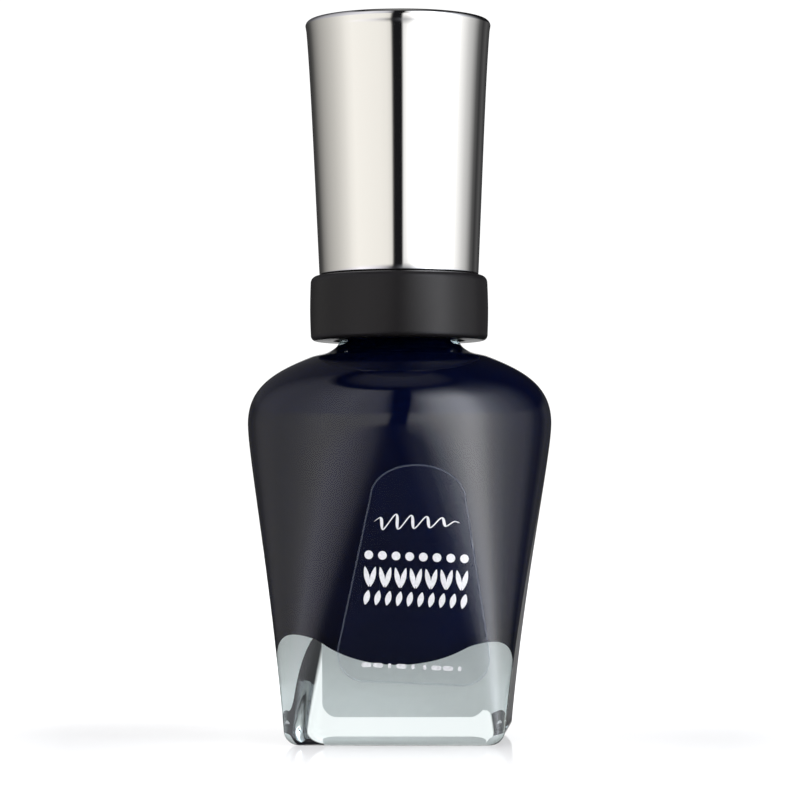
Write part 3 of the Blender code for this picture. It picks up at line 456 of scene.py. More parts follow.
class BottleShape:
    """The outside and the cavity of the bottle, from its settings."""

    SIDE_LEAN = 0.104
    SIDE_LEAD = 0.49
    SHOULDER_TURN = 0.0041
    DOME_RISE = 0.55
    DOME_REACH = 0.58
    DOME_DIP = 0.22
    BORE_ENTRY = 0.0012
    CAVITY_RISE = 0.0042
    CAVITY_REACH = 0.0005
    CAVITY_DROP = 0.0036
    BEAD_HEIGHT = 0.0034
    BEAD_STEP = 0.0006
    FILLET_HEIGHT = 0.0022
    LIP_ROUNDING = 0.0005
    THREAD_BASE = 0.0010
    THREAD_CREST = 0.0004
    THREAD_LIP_DROP = 0.0010
    THREAD_RUN_IN = 0.12

    def __init__(self, settings):
        self.s = settings
        self.body_top = settings.shoulder_height + settings.dome_height
        self.lip = GLASS_HIGH.z
        self.bead = settings.neck_radius + settings.thread_depth
        self.outline = self.outside()

    def outside(self):
        """(half width, height) from the foot's rounding up to the dome's top."""
        s = self.s
        foot = arc((s.foot_half_width - s.foot_fillet, s.foot_fillet), s.foot_fillet, -90, 0, 12)
        lead = self.SIDE_LEAD * (s.shoulder_height - s.foot_fillet)
        side = bezier(
            (s.foot_half_width, s.foot_fillet),
            (s.foot_half_width + self.SIDE_LEAN * lead, s.foot_fillet + lead),
            (s.shoulder_radius, s.shoulder_height - self.SHOULDER_TURN),
            (s.shoulder_radius, s.shoulder_height),
            72,
        )
        reach = self.DOME_REACH * (s.shoulder_radius - s.dome_top_radius)
        dome = bezier(
            (s.shoulder_radius, s.shoulder_height),
            (s.shoulder_radius, s.shoulder_height + self.DOME_RISE * s.dome_height),
            (s.dome_top_radius + reach, self.body_top - self.DOME_DIP * s.dome_height),
            (s.dome_top_radius, self.body_top),
            36,
        )
        return foot + side + dome

    def half_width_at(self, height):
        """Half the width of the bottle across its flats at this height."""
        for (low, low_z), (high, high_z) in zip(self.outline, self.outline[1:]):
            if height <= high_z:
                share = max(0.0, (height - low_z) / (high_z - low_z))
                return low + (high - low) * share
        return self.outline[-1][0]

    def corner_at(self, height):
        """Radius of the upright corners, which grows until the bottle is round at its shoulder."""
        s = self.s
        half_width = self.half_width_at(height)
        if height >= s.shoulder_height:
            return half_width
        foot = DIAGONAL * s.foot_half_width - (DIAGONAL - 1) * s.foot_corner
        diagonal = foot + (s.shoulder_radius - foot) * max(0.0, height) / s.shoulder_height
        flat_width = self.half_width_at(max(height, s.foot_fillet))
        corner = (DIAGONAL * flat_width - diagonal) / (DIAGONAL - 1)
        return min(max(corner, s.foot_corner / 2), half_width)

    def cavity(self):
        """(radius, height) of the cavity, from the middle of its floor up to the bore."""
        s = self.s
        rim_z = s.base_thickness + s.bowl_depth
        rim = self.half_width_at(rim_z) - s.foot_wall
        floor = []
        for step in range(1, 33):
            angle = math.pi / 2 * step / 32
            floor.append((rim * math.sin(angle), rim_z - s.bowl_depth * math.cos(angle)))
        walls = []
        for step in range(1, 33):
            share = step / 32
            height = rim_z + (s.shoulder_height - rim_z) * share
            wall = s.foot_wall + (s.shoulder_wall - s.foot_wall) * share
            walls.append((self.half_width_at(height) - wall, height))
        wide = s.shoulder_radius - s.shoulder_wall
        dome = bezier(
            (wide, s.shoulder_height),
            (wide, s.shoulder_height + self.CAVITY_RISE),
            (s.bore_radius + self.CAVITY_REACH, self.body_top - self.CAVITY_DROP),
            (s.bore_radius, self.body_top + self.BORE_ENTRY),
            32,
        )
        return floor + walls + dome

    def neck(self):
        """(radius, height) from the dome's top up to the thread's foot."""
        s = self.s
        edge = 0.0002
        run = 0.4 * (s.dome_top_radius - self.bead)
        fillet = bezier(
            (s.dome_top_radius, self.body_top),
            (s.dome_top_radius - run, self.body_top + 0.2 * self.FILLET_HEIGHT),
            (self.bead + edge, self.body_top + 0.3 * self.FILLET_HEIGHT),
            (self.bead + edge / 2, self.body_top + self.FILLET_HEIGHT),
            16,
        )
        bead_top = self.body_top + self.BEAD_HEIGHT
        bead = [(self.bead, bead_top - self.BEAD_STEP), (s.neck_radius, bead_top)]
        return fillet + bead

    def thread_radius(self, angle, height):
        """Radius of the threaded neck here."""
        s = self.s
        start = self.lip - self.THREAD_LIP_DROP - s.thread_turns * s.thread_pitch
        along = (height - start) / s.thread_pitch - angle / (2 * math.pi)
        turn = round(along)
        place = turn + angle / (2 * math.pi)
        distance = abs(along - turn) * s.thread_pitch
        side = (self.THREAD_BASE / 2 - distance) / ((self.THREAD_BASE - self.THREAD_CREST) / 2)
        ends = min(place, s.thread_turns - place) / self.THREAD_RUN_IN
        share = min(1.0, max(0.0, side)) * min(1.0, max(0.0, ends))
        return s.neck_radius + s.thread_depth * share


def rounded_square_radius(half_width, corner, angle):
    """Distance from the axis to a rounded square, at this angle from the middle of a face."""
    flat = half_width - corner
    folded = abs((angle + math.pi / 4) % (math.pi / 2) - math.pi / 4)
    if half_width * math.tan(folded) <= flat:
        return half_width / math.cos(folded)
    along = flat * (math.cos(folded) + math.sin(folded))
    return along + math.sqrt(max(0.0, along * along - 2 * flat * flat + corner * corner))


def round_angles(count):
    return [2 * math.pi * step / count for step in range(count)]


def body_angles(steps):
    """Angles round the bottle, closer together at the corners."""
    middle = math.pi / 4
    half = [middle * math.sin(math.pi / 2 * step / steps) for step in range(steps)]
    quarter = half + [math.pi / 2 - a for a in [middle] + half[:0:-1]]
    return [quadrant * math.pi / 2 + angle for quadrant in range(4) for angle in quarter]


# ---- Mesh helpers ----


def refinish(node, material):
    """Gives a carried-over node of the frame its finish."""
    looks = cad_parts[node].data.materials
    looks.clear()
    looks.append(material)


def piece(name, shape, looks, body, replaces=(), sharp=35.0):
    """A finished piece with smooth faces, riding on a body of the frame."""
    vertices, faces = shape
    mesh = bpy.data.meshes.new(name)
    mesh.from_pydata(vertices, [], faces)
    mesh.validate()
    for look in looks:
        mesh.materials.append(look)
    mesh.shade_smooth()
    mesh.set_sharp_from_angle(angle=math.radians(sharp))
    made = bpy.data.objects.new(name, mesh)
    bpy.context.scene.collection.objects.link(made)
    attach(made, body)
    if replaces:
        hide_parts(*replaces)
    return made


def ring(angles, radius_at, height):
    return [(radius_at(a) * math.cos(a), radius_at(a) * math.sin(a), height) for a in angles]


def lathe(outline, angles):
    """Round rings, from the (radius, height) outline of a piece turned on a lathe."""
    return [ring(angles, lambda a: radius, height) for radius, height in outline]


def bands(rings, closed=False):
    """Vertices and faces between rings of equal length, joined up or open at both ends."""
    count, last = len(rings[0]), len(rings) - 1
    pairs = [(low, low + 1) for low in range(last)] + [(last, 0)] * closed
    faces = []
    for low, high in pairs:
        for i in range(count):
            j = (i + 1) % count
            faces.append((low * count + i, low * count + j, high * count + j, high * count + i))
    return [point for loop in rings for point in loop], faces


def skin(rings):
    """Vertices and faces over rings of equal length, with a fan over each end."""
    vertices, faces = bands(rings)
    count = len(rings[0])
    for end, turn in ((0, -1), (len(rings) - 1, 1)):
        vertices.append(tuple(sum(point[axis] for point in rings[end]) / count for axis in range(3)))
        for i in range(count):
            pair = (end * count + i, end * count + (i + 1) % count)
            faces.append((*pair[::turn], len(vertices) - 1))
    return vertices, faces


def join(parts):
    """Several (vertices, faces) as one."""
    vertices, faces = [], []
    for more_vertices, more_faces in parts:
        start = len(vertices)
        vertices += more_vertices
        faces += [tuple(start + index for index in face) for face in more_faces]
    return vertices, faces


def bowed(outline, radius):
    """An outline with its corners rounded by this much."""
    steps = 4
    points = []
    count = len(outline)
    for index in range(count):
        before, here, after = (Vector(outline[(index + shift) % count]) for shift in (-1, 0, 1))
        to_before, to_after = before - here, after - here
        reach = min(radius, to_before.length / 2.5, to_after.length / 2.5)
        start = here + to_before.normalized() * reach
        end = here + to_after.normalized() * reach
        for step in range(steps + 1):
            t = step / steps
            s = 1 - t
            points.append(tuple(start * (s * s) + here * (2 * s * t) + end * (t * t)))
    return points


# ---- Glass, lacquer and balls ----


def build_bottle(settings):
    shape = BottleShape(settings)
    angles = body_angles(26)
    depth = settings.push_up_depth
    push_up = settings.push_up_radius - depth
    rings = lathe(
        [(push_up + depth * share, depth * (1 - share) ** 0.7) for share in (0.0, 0.5, 0.85, 1.0)],
        angles,
    )
    for half_width, height in shape.outline:
        inset = settings.foot_half_width - half_width if height < settings.foot_fillet else 0.0
        corner = max(shape.corner_at(height) - inset / 2, settings.foot_corner / 3)
        rings.append(ring(angles, lambda a: rounded_square_radius(half_width, corner, a), height))
    neck = shape.neck()
    rings += lathe(neck, angles)
    low = neck[-1][1]
    rounding = shape.LIP_ROUNDING
    high = shape.lip - rounding
    levels = 72
    for step in range(1, levels):
        height = low + (high - low) * step / levels
        rings.append(ring(angles, lambda a: shape.thread_radius(a, height), height))
    lip = arc((settings.neck_radius - rounding, high), rounding, 0, 90, 8)
    lip += arc((settings.bore_radius + rounding, high), rounding, 90, 180, 8)
    rings += lathe(lip + shape.cavity()[::-1], angles)
    look = [clear_glass(settings)]
    piece("bottle_glass", skin(rings), look, "bottle", ["glass_bottle"], sharp=50.0)


def build_lacquer(settings):
    level = LACQUER_HIGH.z
    base = settings.base_thickness
    into_glass = 0.00005
    well = 0.0031
    axis_hole = 0.0002
    cavity = [(0.0, base), *BottleShape(settings).cavity()]
    side = []
    for (radius, height), (_, low_z) in zip(cavity[1:], cavity):
        if radius > well and height < level:
            drop = into_glass * (height < base + settings.bowl_depth)
            side.append((radius + into_glass, height - drop))
    side.append((settings.bore_radius + into_glass, level))
    floor = [(axis_hole, base - into_glass)]
    floor += [(r, z - into_glass) for r, z in cavity[1:] if r <= well and z < settings.bowl_depth * 3]
    tip_space = TUFT_LOW.z - 0.0005
    inside = [(well, level), (well, tip_space), (axis_hole, tip_space)]
    shape = bands(lathe(floor + side + inside, round_angles(144)), closed=True)
    look = [navy_lacquer(settings), wet_lacquer(settings)]
    lacquer = piece("lacquer", shape, look, "bottle", ["lacquer_fill"])
    for face in lacquer.data.polygons:
        open_air = face.center.z > level - 0.0001 or face.center.xy.length < settings.bore_radius
        if open_air and face.center.z > tip_space - 0.0001:
            face.material_index = 1
    steel = polished_steel("ball_steel", (0.62, 0.62, 0.61), 0.12, 0.22)
    refinish("mixing_ball_1", steel)
    refinish("mixing_ball_2", steel)


# ---- Labels ----

FILM_ROWS = 60
FILM_COLUMNS = 40
PRINT_LIFT = 0.00003  # of the ink over the film


def face_point(shape, distance, height, lift, turn=1.0):
    """A point on a face of the bottle, this far round from its middle, lifted off it."""
    half_width = shape.half_width_at(height)
    corner = shape.corner_at(height)
    flat = half_width - corner
    along = abs(distance)
    side = math.copysign(1.0, distance)
    if along <= flat:
        return turn * side * along, -turn * (half_width + lift), height
    angle = (along - flat) / corner
    reach = corner + lift
    across = side * (flat + reach * math.sin(angle))
    return turn * across, -turn * (flat + reach * math.cos(angle)), height


class FrontLabel:
    """The nail-shaped front label: where a place on it lies on the glass."""

    LOW = 0.0075
    TOP = 0.03383

    def __init__(self, shape, label):
        self.shape = shape
        self.label = label
        self.low = self.LOW
        self.height = self.TOP - self.LOW

    def point(self, across, up, lift):
        label = self.label
        rise = up - self.height / 2
        x = label.offset + across * math.cos(label.tilt) + rise * math.sin(label.tilt)
        z = self.low + self.height / 2 + rise * math.cos(label.tilt) - across * math.sin(label.tilt)
        return face_point(self.shape, x, z, lift)

    def half_width(self, up):
        label = self.label
        arch_start = self.height - label.arch
        side = label.low_half_width
        side += (label.high_half_width - label.low_half_width) * min(1.0, up / arch_start)
        if up < label.corner:
            return side - label.corner + math.sqrt(max(0.0, label.corner**2 - (label.corner - up) ** 2))
        if up > arch_start:
            return side * math.sqrt(max(0.0, 1 - ((up - arch_start) / label.arch) ** 2))
        return side


class RearLabel:
    """The plain rear label."""

    def __init__(self, shape, label):
        self.shape = shape
        self.label = label
        self.low = REAR_FILM_LOW.z
        self.height = REAR_FILM_HIGH.z - REAR_FILM_LOW.z

    def point(self, across, up, lift):
        return face_point(self.shape, across, self.low + up, lift, turn=-1.0)

    def half_width(self, up):
        edge = min(up, self.height - up)
        corner = self.label.rear_corner
        if edge >= corner:
            return self.label.rear_half_width
        rise = corner - edge
        side = self.label.rear_half_width - corner
        return side + math.sqrt(max(0.0, corner**2 - rise**2))


def eased_levels(height, rows):
    """Heights from the label's foot to its top, closer together at both ends."""
    return [height * (1 - math.cos(math.pi * (0.02 + 0.96 * row / rows))) / 2 for row in range(rows + 1)]


def film_sheet(place, low_lift, high_lift):
    """The film as a thin closed sheet."""
    rows, columns = FILM_ROWS, FILM_COLUMNS
    vertices, faces = [], []
    for lift in (low_lift, high_lift):
        for up in eased_levels(place.height, rows):
            half = place.half_width(up)
            for column in range(columns + 1):
                vertices.append(place.point(half * (2 * column / columns - 1), up, lift))
    width = columns + 1
    sheet = width * (rows + 1)
    for row in range(rows):
        for column in range(columns):
            a = row * width + column
            front = (a, a + 1, a + width + 1, a + width)
            faces.append(tuple(sheet + index for index in front))
            faces.append(front[::-1])
    loop = [*range(columns), *(row * width + columns for row in range(rows))]
    loop += [rows * width + columns - column for column in range(columns)]
    loop += [(rows - row) * width for row in range(rows)]
    for a, b in zip(loop, loop[1:] + loop[:1]):
        faces.append((a, b, sheet + b, sheet + a))
    return vertices, faces


def film_rim(place, width, lift):
    """A narrow band round the film's edge."""
    levels = eased_levels(place.height, FILM_ROWS)
    right = [(place.half_width(up), up) for up in levels]
    (foot_half, foot_z), (top_half, top_z) = right[0], right[-1]
    steps = 24
    top = [(top_half * (1 - 2 * step / steps), top_z) for step in range(1, steps)]
    left = [(-half, up) for half, up in right[::-1]]
    foot = [(foot_half * (2 * step / steps - 1), foot_z) for step in range(1, steps)]
    outer = right + top + left + foot
    middle = place.height / 2
    rings = []
    for inset, height in ((0.0, lift * 0.6), (0.3, lift), (1.0, lift * 0.9)):
        row = []
        for index, (across, up) in enumerate(outer):
            along = Vector(outer[(index + 1) % len(outer)]) - Vector(outer[index - 1])
            along.normalize()
            inward = Vector((-along.y, along.x))
            if inward.dot(Vector((-across, middle - up))) < 0:
                inward = -inward
            spot = Vector((across, up)) + inward * width * inset
            row.append(place.point(spot.x, spot.y, height))
        rings.append(row)
    return bands(rings)


def blob(place, lift, across, up, half_width, half_height, squareness=2.0, steps=28):
    """A filled mark on a label: round for a squareness of 2, and squarer above that."""
    rings = []
    for share in (1.0, 0.75, 0.5, 0.25):
        row = []
        for angle in round_angles(steps):
            cos, sin = math.cos(angle), math.sin(angle)
            x = math.copysign(abs(cos) ** (2 / squareness), cos) * half_width * share
            y = math.copysign(abs(sin) ** (2 / squareness), sin) * half_height * share
            row.append(place.point(across + x, up + y, lift))
        rings.append(row)
    vertices, faces = bands(rings)
    middle = len(vertices)
    last = middle - steps
    vertices.append(place.point(across, up, lift))
    faces += [(last + i, last + (i + 1) % steps, middle) for i in range(steps)]
    return vertices, faces


def flourish(place, lift, low_across, high_across, up, height):
    """A brush-drawn wave that swells on its down strokes and dies away to the right."""
    waves, steps, slant = 5.5, 220, 0.35
    fine_pen, more_pen = 0.00007, 0.00011
    path, pens = [], []
    for step in range(steps + 1):
        share = step / steps
        phase = 2 * math.pi * waves * share
        swing = height / 2 * (1 - 0.6 * share) * min(1.0, 6 * share + 0.15, 5 * (1 - share) + 0.1)
        rise = swing * math.sin(phase)
        across = low_across + (high_across - low_across) * share
        path.append(Vector((across + slant * rise, up + rise + height * 0.12 * share)))
        taper = min(1.0, 12 * share + 0.1, 12 * (1 - share) + 0.1)
        pens.append((fine_pen + more_pen * max(0.0, -math.cos(phase))) * taper)
    vertices, faces = [], []
    for step, (spot, pen) in enumerate(zip(path, pens)):
        along = path[min(step + 1, steps)] - path[max(step - 1, 0)]
        aside = Vector((-along.y, along.x)).normalized() * pen
        for side in (-1, 1):
            vertices.append(place.point(spot.x + side * aside.x, spot.y + side * aside.y, lift))
        if step:
            a = 2 * step
            faces.append((a - 2, a - 1, a + 1, a))
    return vertices, faces


def leaf(place, lift, across, up, half_length, half_width, turn):
    """A pointed leaf, turned by this angle from upright."""
    steps = 16
    vertices, faces = [], []
    cos, sin = math.cos(turn), math.sin(turn)
    for step in range(steps + 1):
        along = half_length * (2 * step / steps - 1)
        wide = half_width * math.sin(math.pi * (0.02 + 0.96 * step / steps)) ** 0.8
        for side in (-1, 0, 1):
            x, y = side * wide, along
            spot = (across + x * cos + y * sin, up + y * cos - x * sin)
            vertices.append(place.point(*spot, lift))
        if step:
            a = 3 * step
            faces.append((a - 3, a - 2, a + 1, a))
            faces.append((a - 2, a - 1, a + 2, a + 1))
    return vertices, faces


def print_row(start, step, count):
    """Places along a row of print, from the label's middle."""
    return [start + step * index for index in range(count)]


def build_film(place, name, look, node):
    """The sheet of a label, just off the glass."""
    label = place.label
    sheet = film_sheet(place, label.gap, label.gap + label.thickness)
    piece(name, sheet, [look], "bottle", [node], sharp=60.0)


def build_print(name, marks, ink):
    piece(name, join(marks), [ink], "bottle", sharp=60.0)


def build_front_label(bottle, label):
    place = FrontLabel(BottleShape(bottle), label)
    build_film(place, "front_film", clear_film(), "front_label")
    top = label.gap + label.thickness
    # A lighter band round the film's edge: a painted glint.
    rim = film_rim(place, 0.00022, top + 0.00002)
    piece("front_film_edge", rim, [film_edge_painted_glint()], "bottle")

    lift = top + PRINT_LIFT
    wave_up, dot_up, pair_up, small_up, dash_up = 0.0193, 0.0153, 0.0127, 0.0102, 0.0021
    bold = [flourish(place, lift, -0.0052, 0.0050, wave_up, 0.0021)]
    for across in print_row(-0.0057, 0.00163, 8):
        bold.append(blob(place, lift, across, dot_up, 0.00052, 0.00052))
    for across in print_row(-0.0055, 0.00183, 7):
        for side in (-1, 1):
            stem = across + side * 0.00036
            bold.append(leaf(place, lift, stem, pair_up, 0.00122, 0.00031, side * math.radians(13)))
    for across in print_row(-0.0058, 0.00129, 10):
        bold.append(leaf(place, lift, across, small_up, 0.00088, 0.00036, math.radians(12)))
    build_print("front_print", bold, print_ink("white_print", label.print_white, 0.86))

    fine = []
    for across, long in zip(print_row(-0.0056, 0.00140, 9), (1, 1, 0, 1, 0, 0, 1, 1, 0)):
        half = 0.0006 if long else 0.0002
        fine.append(blob(place, lift, across, dash_up, half, 0.00028, 4.0))
    pale = tuple(channel * 0.9 for channel in label.print_white)
    build_print("front_fine_print", fine, print_ink("fine_print", pale, 0.75))


def build_rear_label(bottle, label):
    place = RearLabel(BottleShape(bottle), label)
    build_film(place, "rear_film", label_paper(), "rear_label")
    lift = label.gap + label.thickness + PRINT_LIFT
    marks = []
    random.seed(7)
    half = label.rear_half_width - 0.0014
    row = place.height - 0.0022
    while row > 0.0078:
        end = half * random.uniform(0.35, 0.98)
        marks.append(blob(place, lift, (end - half) / 2, row, (end + half) / 2, 0.00020, 8.0, 40))
        row -= 0.00105
    across = -half
    while across < half - 0.0004:
        wide = random.choice((0.00008, 0.00012, 0.0002))
        marks.append(blob(place, lift, across + wide, 0.0042, wide, 0.0022, 12.0, 16))
        across += 2 * wide + random.choice((0.00018, 0.00028, 0.0004))
    build_print("rear_print", marks, print_ink("grey_print", label.print_grey, 1.3))


def build_base_sticker(bottle):
    refinish("base_label", base_sticker(bottle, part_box("base_label")[1].x))


# ---- Brush ----


def build_washer(brush):
    inner = brush.stem_radius + 0.0004
    outer, top, low = WASHER_HIGH.x, WASHER_HIGH.z, WASHER_LOW.z
    outline = bowed([(inner, top), (outer, top), (outer, low), (inner, low)], 0.00008)
    shape = bands(lathe(outline, round_angles(96)), closed=True)
    piece("washer", shape, [washer_foam()], "washer", ["sealing_washer"], sharp=80.0)


def oval(angles, wide, thick, height):
    return [(wide * math.cos(a), thick * math.sin(a), height) for a in angles]


def build_brush(brush, bottle):
    seat_gap = 0.00005
    edge = 0.0001
    snap = 0.00025
    spigot, flange, tip = brush.spigot_radius, brush.flange_radius, brush.stem_tip_radius
    flange_z = WASHER_HIGH.z + seat_gap
    flange_top = flange_z + brush.flange_thickness
    head_low = flange_top + seat_gap + 0.0014 + 0.00008
    top, low = STEM_HIGH.z, STEM_LOW.z
    head = top - head_low
    socket_top = low + 0.0045
    outline = [
        (spigot - 0.0006, top),
        (spigot - 0.0002, top - head * 0.2),
        (spigot + snap, head_low + head * 0.35),
        (spigot + snap, head_low + head * 0.15),
        (spigot, head_low),
        (spigot, flange_top),
        (flange - edge, flange_top),
        (flange, flange_top - edge),
        (flange, flange_z + edge),
        (flange - edge, flange_z),
        (brush.stem_radius, flange_z),
        (brush.stem_radius, flange_z - brush.taper_start),
        (tip, socket_top),
        (tip, low + 0.0003),
        (tip - 0.00006, low + edge),
        (tip - 0.0002, low),
    ]
    angles = round_angles(72)
    rings = lathe(outline, angles)
    clearance = 0.00008
    wide = brush.root_half_width + clearance
    thick = brush.root_half_thickness + clearance
    rings += [oval(angles, wide, thick, height) for height in (low, socket_top)]
    look = [stem_plastic(brush, bottle.lacquer, LACQUER_HIGH.z)]
    piece("stem", skin(rings), look, "brush", ["brush_stem"])
    refinish("bristle_staple", polished_steel("staple_steel", (0.7, 0.7, 0.69), 0.18, 0.3))


def tuft_section(brush, height):
    """Half width and half thickness of the tuft at this height."""
    wide, thick = TUFT_HIGH.x, TUFT_HIGH.y
    spread_z = TUFT_LOW.z + brush.tip_length
    if height >= STEM_LOW.z:
        return brush.root_half_width, brush.root_half_thickness
    if height >= spread_z:
        share = (STEM_LOW.z - height) / (STEM_LOW.z - spread_z)
        eased = share * share * (3 - 2 * share)
        half = brush.root_half_width + (wide - brush.root_half_width) * eased
        return half, brush.root_half_thickness + (thick - brush.root_half_thickness) * eased
    rise = (spread_z - height) / brush.tip_length
    close = math.sqrt(max(0.0, 1 - rise * rise))
    return wide * close, thick * close


def build_bristles(brush, bottle):
    """Filaments that fan out from the socket, on a wet core that holds them together."""
    random.seed(11)
    golden = math.pi * (3 - math.sqrt(5))
    spread_z = TUFT_LOW.z + brush.tip_length
    top = STEM_LOW.z + 0.0004
    radius = brush.filament_radius
    sides = round_angles(6)
    levels = 9
    parts = []
    for index in range(brush.filaments):
        out = math.sqrt((index + 0.5) / brush.filaments)
        angle = index * golden
        across, through = out * math.cos(angle), out * math.sin(angle)
        tip = spread_z - brush.tip_length * math.sqrt(max(0.0, 1 - (0.97 * out) ** 2))
        tip += random.uniform(0.0, 0.00035)
        sway = random.uniform(-0.00005, 0.00005)
        rings = []
        for step in range(levels):
            share = step / (levels - 1)
            height = top + (tip - top) * share
            wide, thick = tuft_section(brush, max(height, spread_z))
            x = across * (wide - 1.5 * radius) + sway * math.sin(math.pi * share)
            y = through * (thick - 1.5 * radius)
            thin = radius * (1.0 if share < 0.9 else 0.55)
            rings.append([(x + thin * math.cos(a), y + thin * math.sin(a), height) for a in sides])
        parts.append(skin(rings))
    look = [bristle_nylon(bottle.lacquer)]
    piece("bristles", join(parts), look, "brush", ["bristle_tuft"], sharp=80.0)

    angles = round_angles(48)
    low = TUFT_LOW.z + 0.0011
    slack = 0.86
    rings = []
    for step in range(25):
        height = STEM_LOW.z + 0.0004 + (low - STEM_LOW.z - 0.0004) * step / 24
        wide, thick = tuft_section(brush, height)
        rings.append(oval(angles, slack * wide, slack * thick, height))
    piece("brush_lacquer", skin(rings), [wet_lacquer(bottle)], "brush", sharp=80.0)


# ---- Cap ----


def overcap_radius_at(cap, height):
    """Outer radius of the overcap, a slow flare that opens faster near the top."""
    share = min(1.0, max(0.0, (height - OVERCAP_LOW.z) / (OVERCAP_HIGH.z - OVERCAP_LOW.z)))
    flare = cap.even_share * share + (1 - cap.even_share) * share**6
    return cap.overcap_radius + cap.overcap_flare * flare


def build_collar(cap):
    radius = COLLAR_HIGH.x - cap.collar_crown
    top_z, foot_z = COLLAR_HIGH.z, COLLAR_LOW.z
    top, low = cap.collar_top_edge, cap.collar_low_edge
    low_z, high_z = foot_z + low, top_z - top
    outline = arc((radius - top, high_z), top, 90, 0, 14)
    for step in range(1, 12):
        share = step / 12
        swell = cap.collar_crown * math.sin(math.pi * share)
        outline.append((radius + swell, high_z + (low_z - high_z) * share))
    outline += arc((radius - low, low_z), low, 0, -90, 12)
    inner = cap.skirt_radius + 0.00005
    hook = foot_z + cap.collar_lip
    hook_radius = 0.0081
    seat = foot_z + 0.0012 - 0.00005
    outline += [(hook_radius + 0.0001, foot_z), (hook_radius, foot_z + 0.0001)]
    outline += [(hook_radius, hook), (inner - 0.0002, seat), (inner, seat + 0.0002)]
    outline += [(inner, top_z - (top_z - foot_z) * 0.02), (inner + 0.0001, top_z)]
    shape = bands(lathe(outline, round_angles(160)), closed=True)
    piece("collar", shape, [collar_satin(cap)], "cap", ["collar_ring"])


def build_overcap(cap):
    edge = cap.overcap_edge
    rounding = 0.0002
    axis_hole = 0.0001
    top_z, low_z = OVERCAP_HIGH.z, OVERCAP_LOW.z
    edge_radius = overcap_radius_at(cap, top_z) - edge
    outline = [(axis_hole, top_z)]
    outline += [(edge_radius * share, top_z) for share in (0.25, 0.5, 0.75, 0.95)]
    outline += arc((edge_radius, top_z - edge), edge, 90, 0, 14)
    wall_top = top_z - 2 * edge
    for step in range(48):
        height = wall_top + (low_z + rounding - wall_top) * step / 48
        outline.append((overcap_radius_at(cap, height), height))
    rim = cap.overcap_radius
    outline += arc((rim - rounding, low_z + rounding), rounding, 0, -90, 5)
    outline.append((rim - cap.overcap_wall + 0.0001, low_z))
    inside_top = top_z - cap.overcap_top
    for step in range(13):
        height = low_z + rounding + (inside_top - low_z - rounding) * step / 12
        outline.append((overcap_radius_at(cap, height) - cap.overcap_wall, height))
    outline.append((axis_hole, inside_top))
    shape = skin(lathe(outline, round_angles(192)))
    piece("cap_shell", shape, [chrome_plating(cap)], "cap", ["overcap"])


# ---- Studio ----


def studio_floor():
    """A pale, slightly polished table top. Its polish fades away from the bottle."""
    surface = Surface("studio_floor", (0.80, 0.80, 0.80), 0.6)
    surface.tree.nodes.remove(surface.shader)
    node = surface.node
    matte = node("ShaderNodeBsdfDiffuse", {"Color": (0.50, 0.50, 0.495, 1.0)}).outputs[0]
    glow = node("ShaderNodeEmission", {"Strength": 0.82}).outputs[0]
    lit = node("ShaderNodeAddShader", {0: matte, 1: glow}).outputs[0]
    rough = surface.ranged(surface.noise(260.0, 2.0), 0.05, 0.09)
    polish = node("ShaderNodeBsdfGlossy", {"Roughness": rough}).outputs[0]
    measure = node("ShaderNodeVectorMath", {0: surface.place()}, operation="LENGTH")
    share = surface.ranged(measure.outputs["Value"], 0.44, 0.0, 0.014, 0.072)
    shown = node("ShaderNodeMixShader", {0: share, 1: lit, 2: polish}).outputs[0]
    seen = node("ShaderNodeLightPath").outputs["Is Camera Ray"]
    either = node("ShaderNodeMixShader", {0: seen, 1: matte, 2: shown}).outputs[0]
    surface.feed(surface.output.inputs["Surface"], either)
    return surface.material


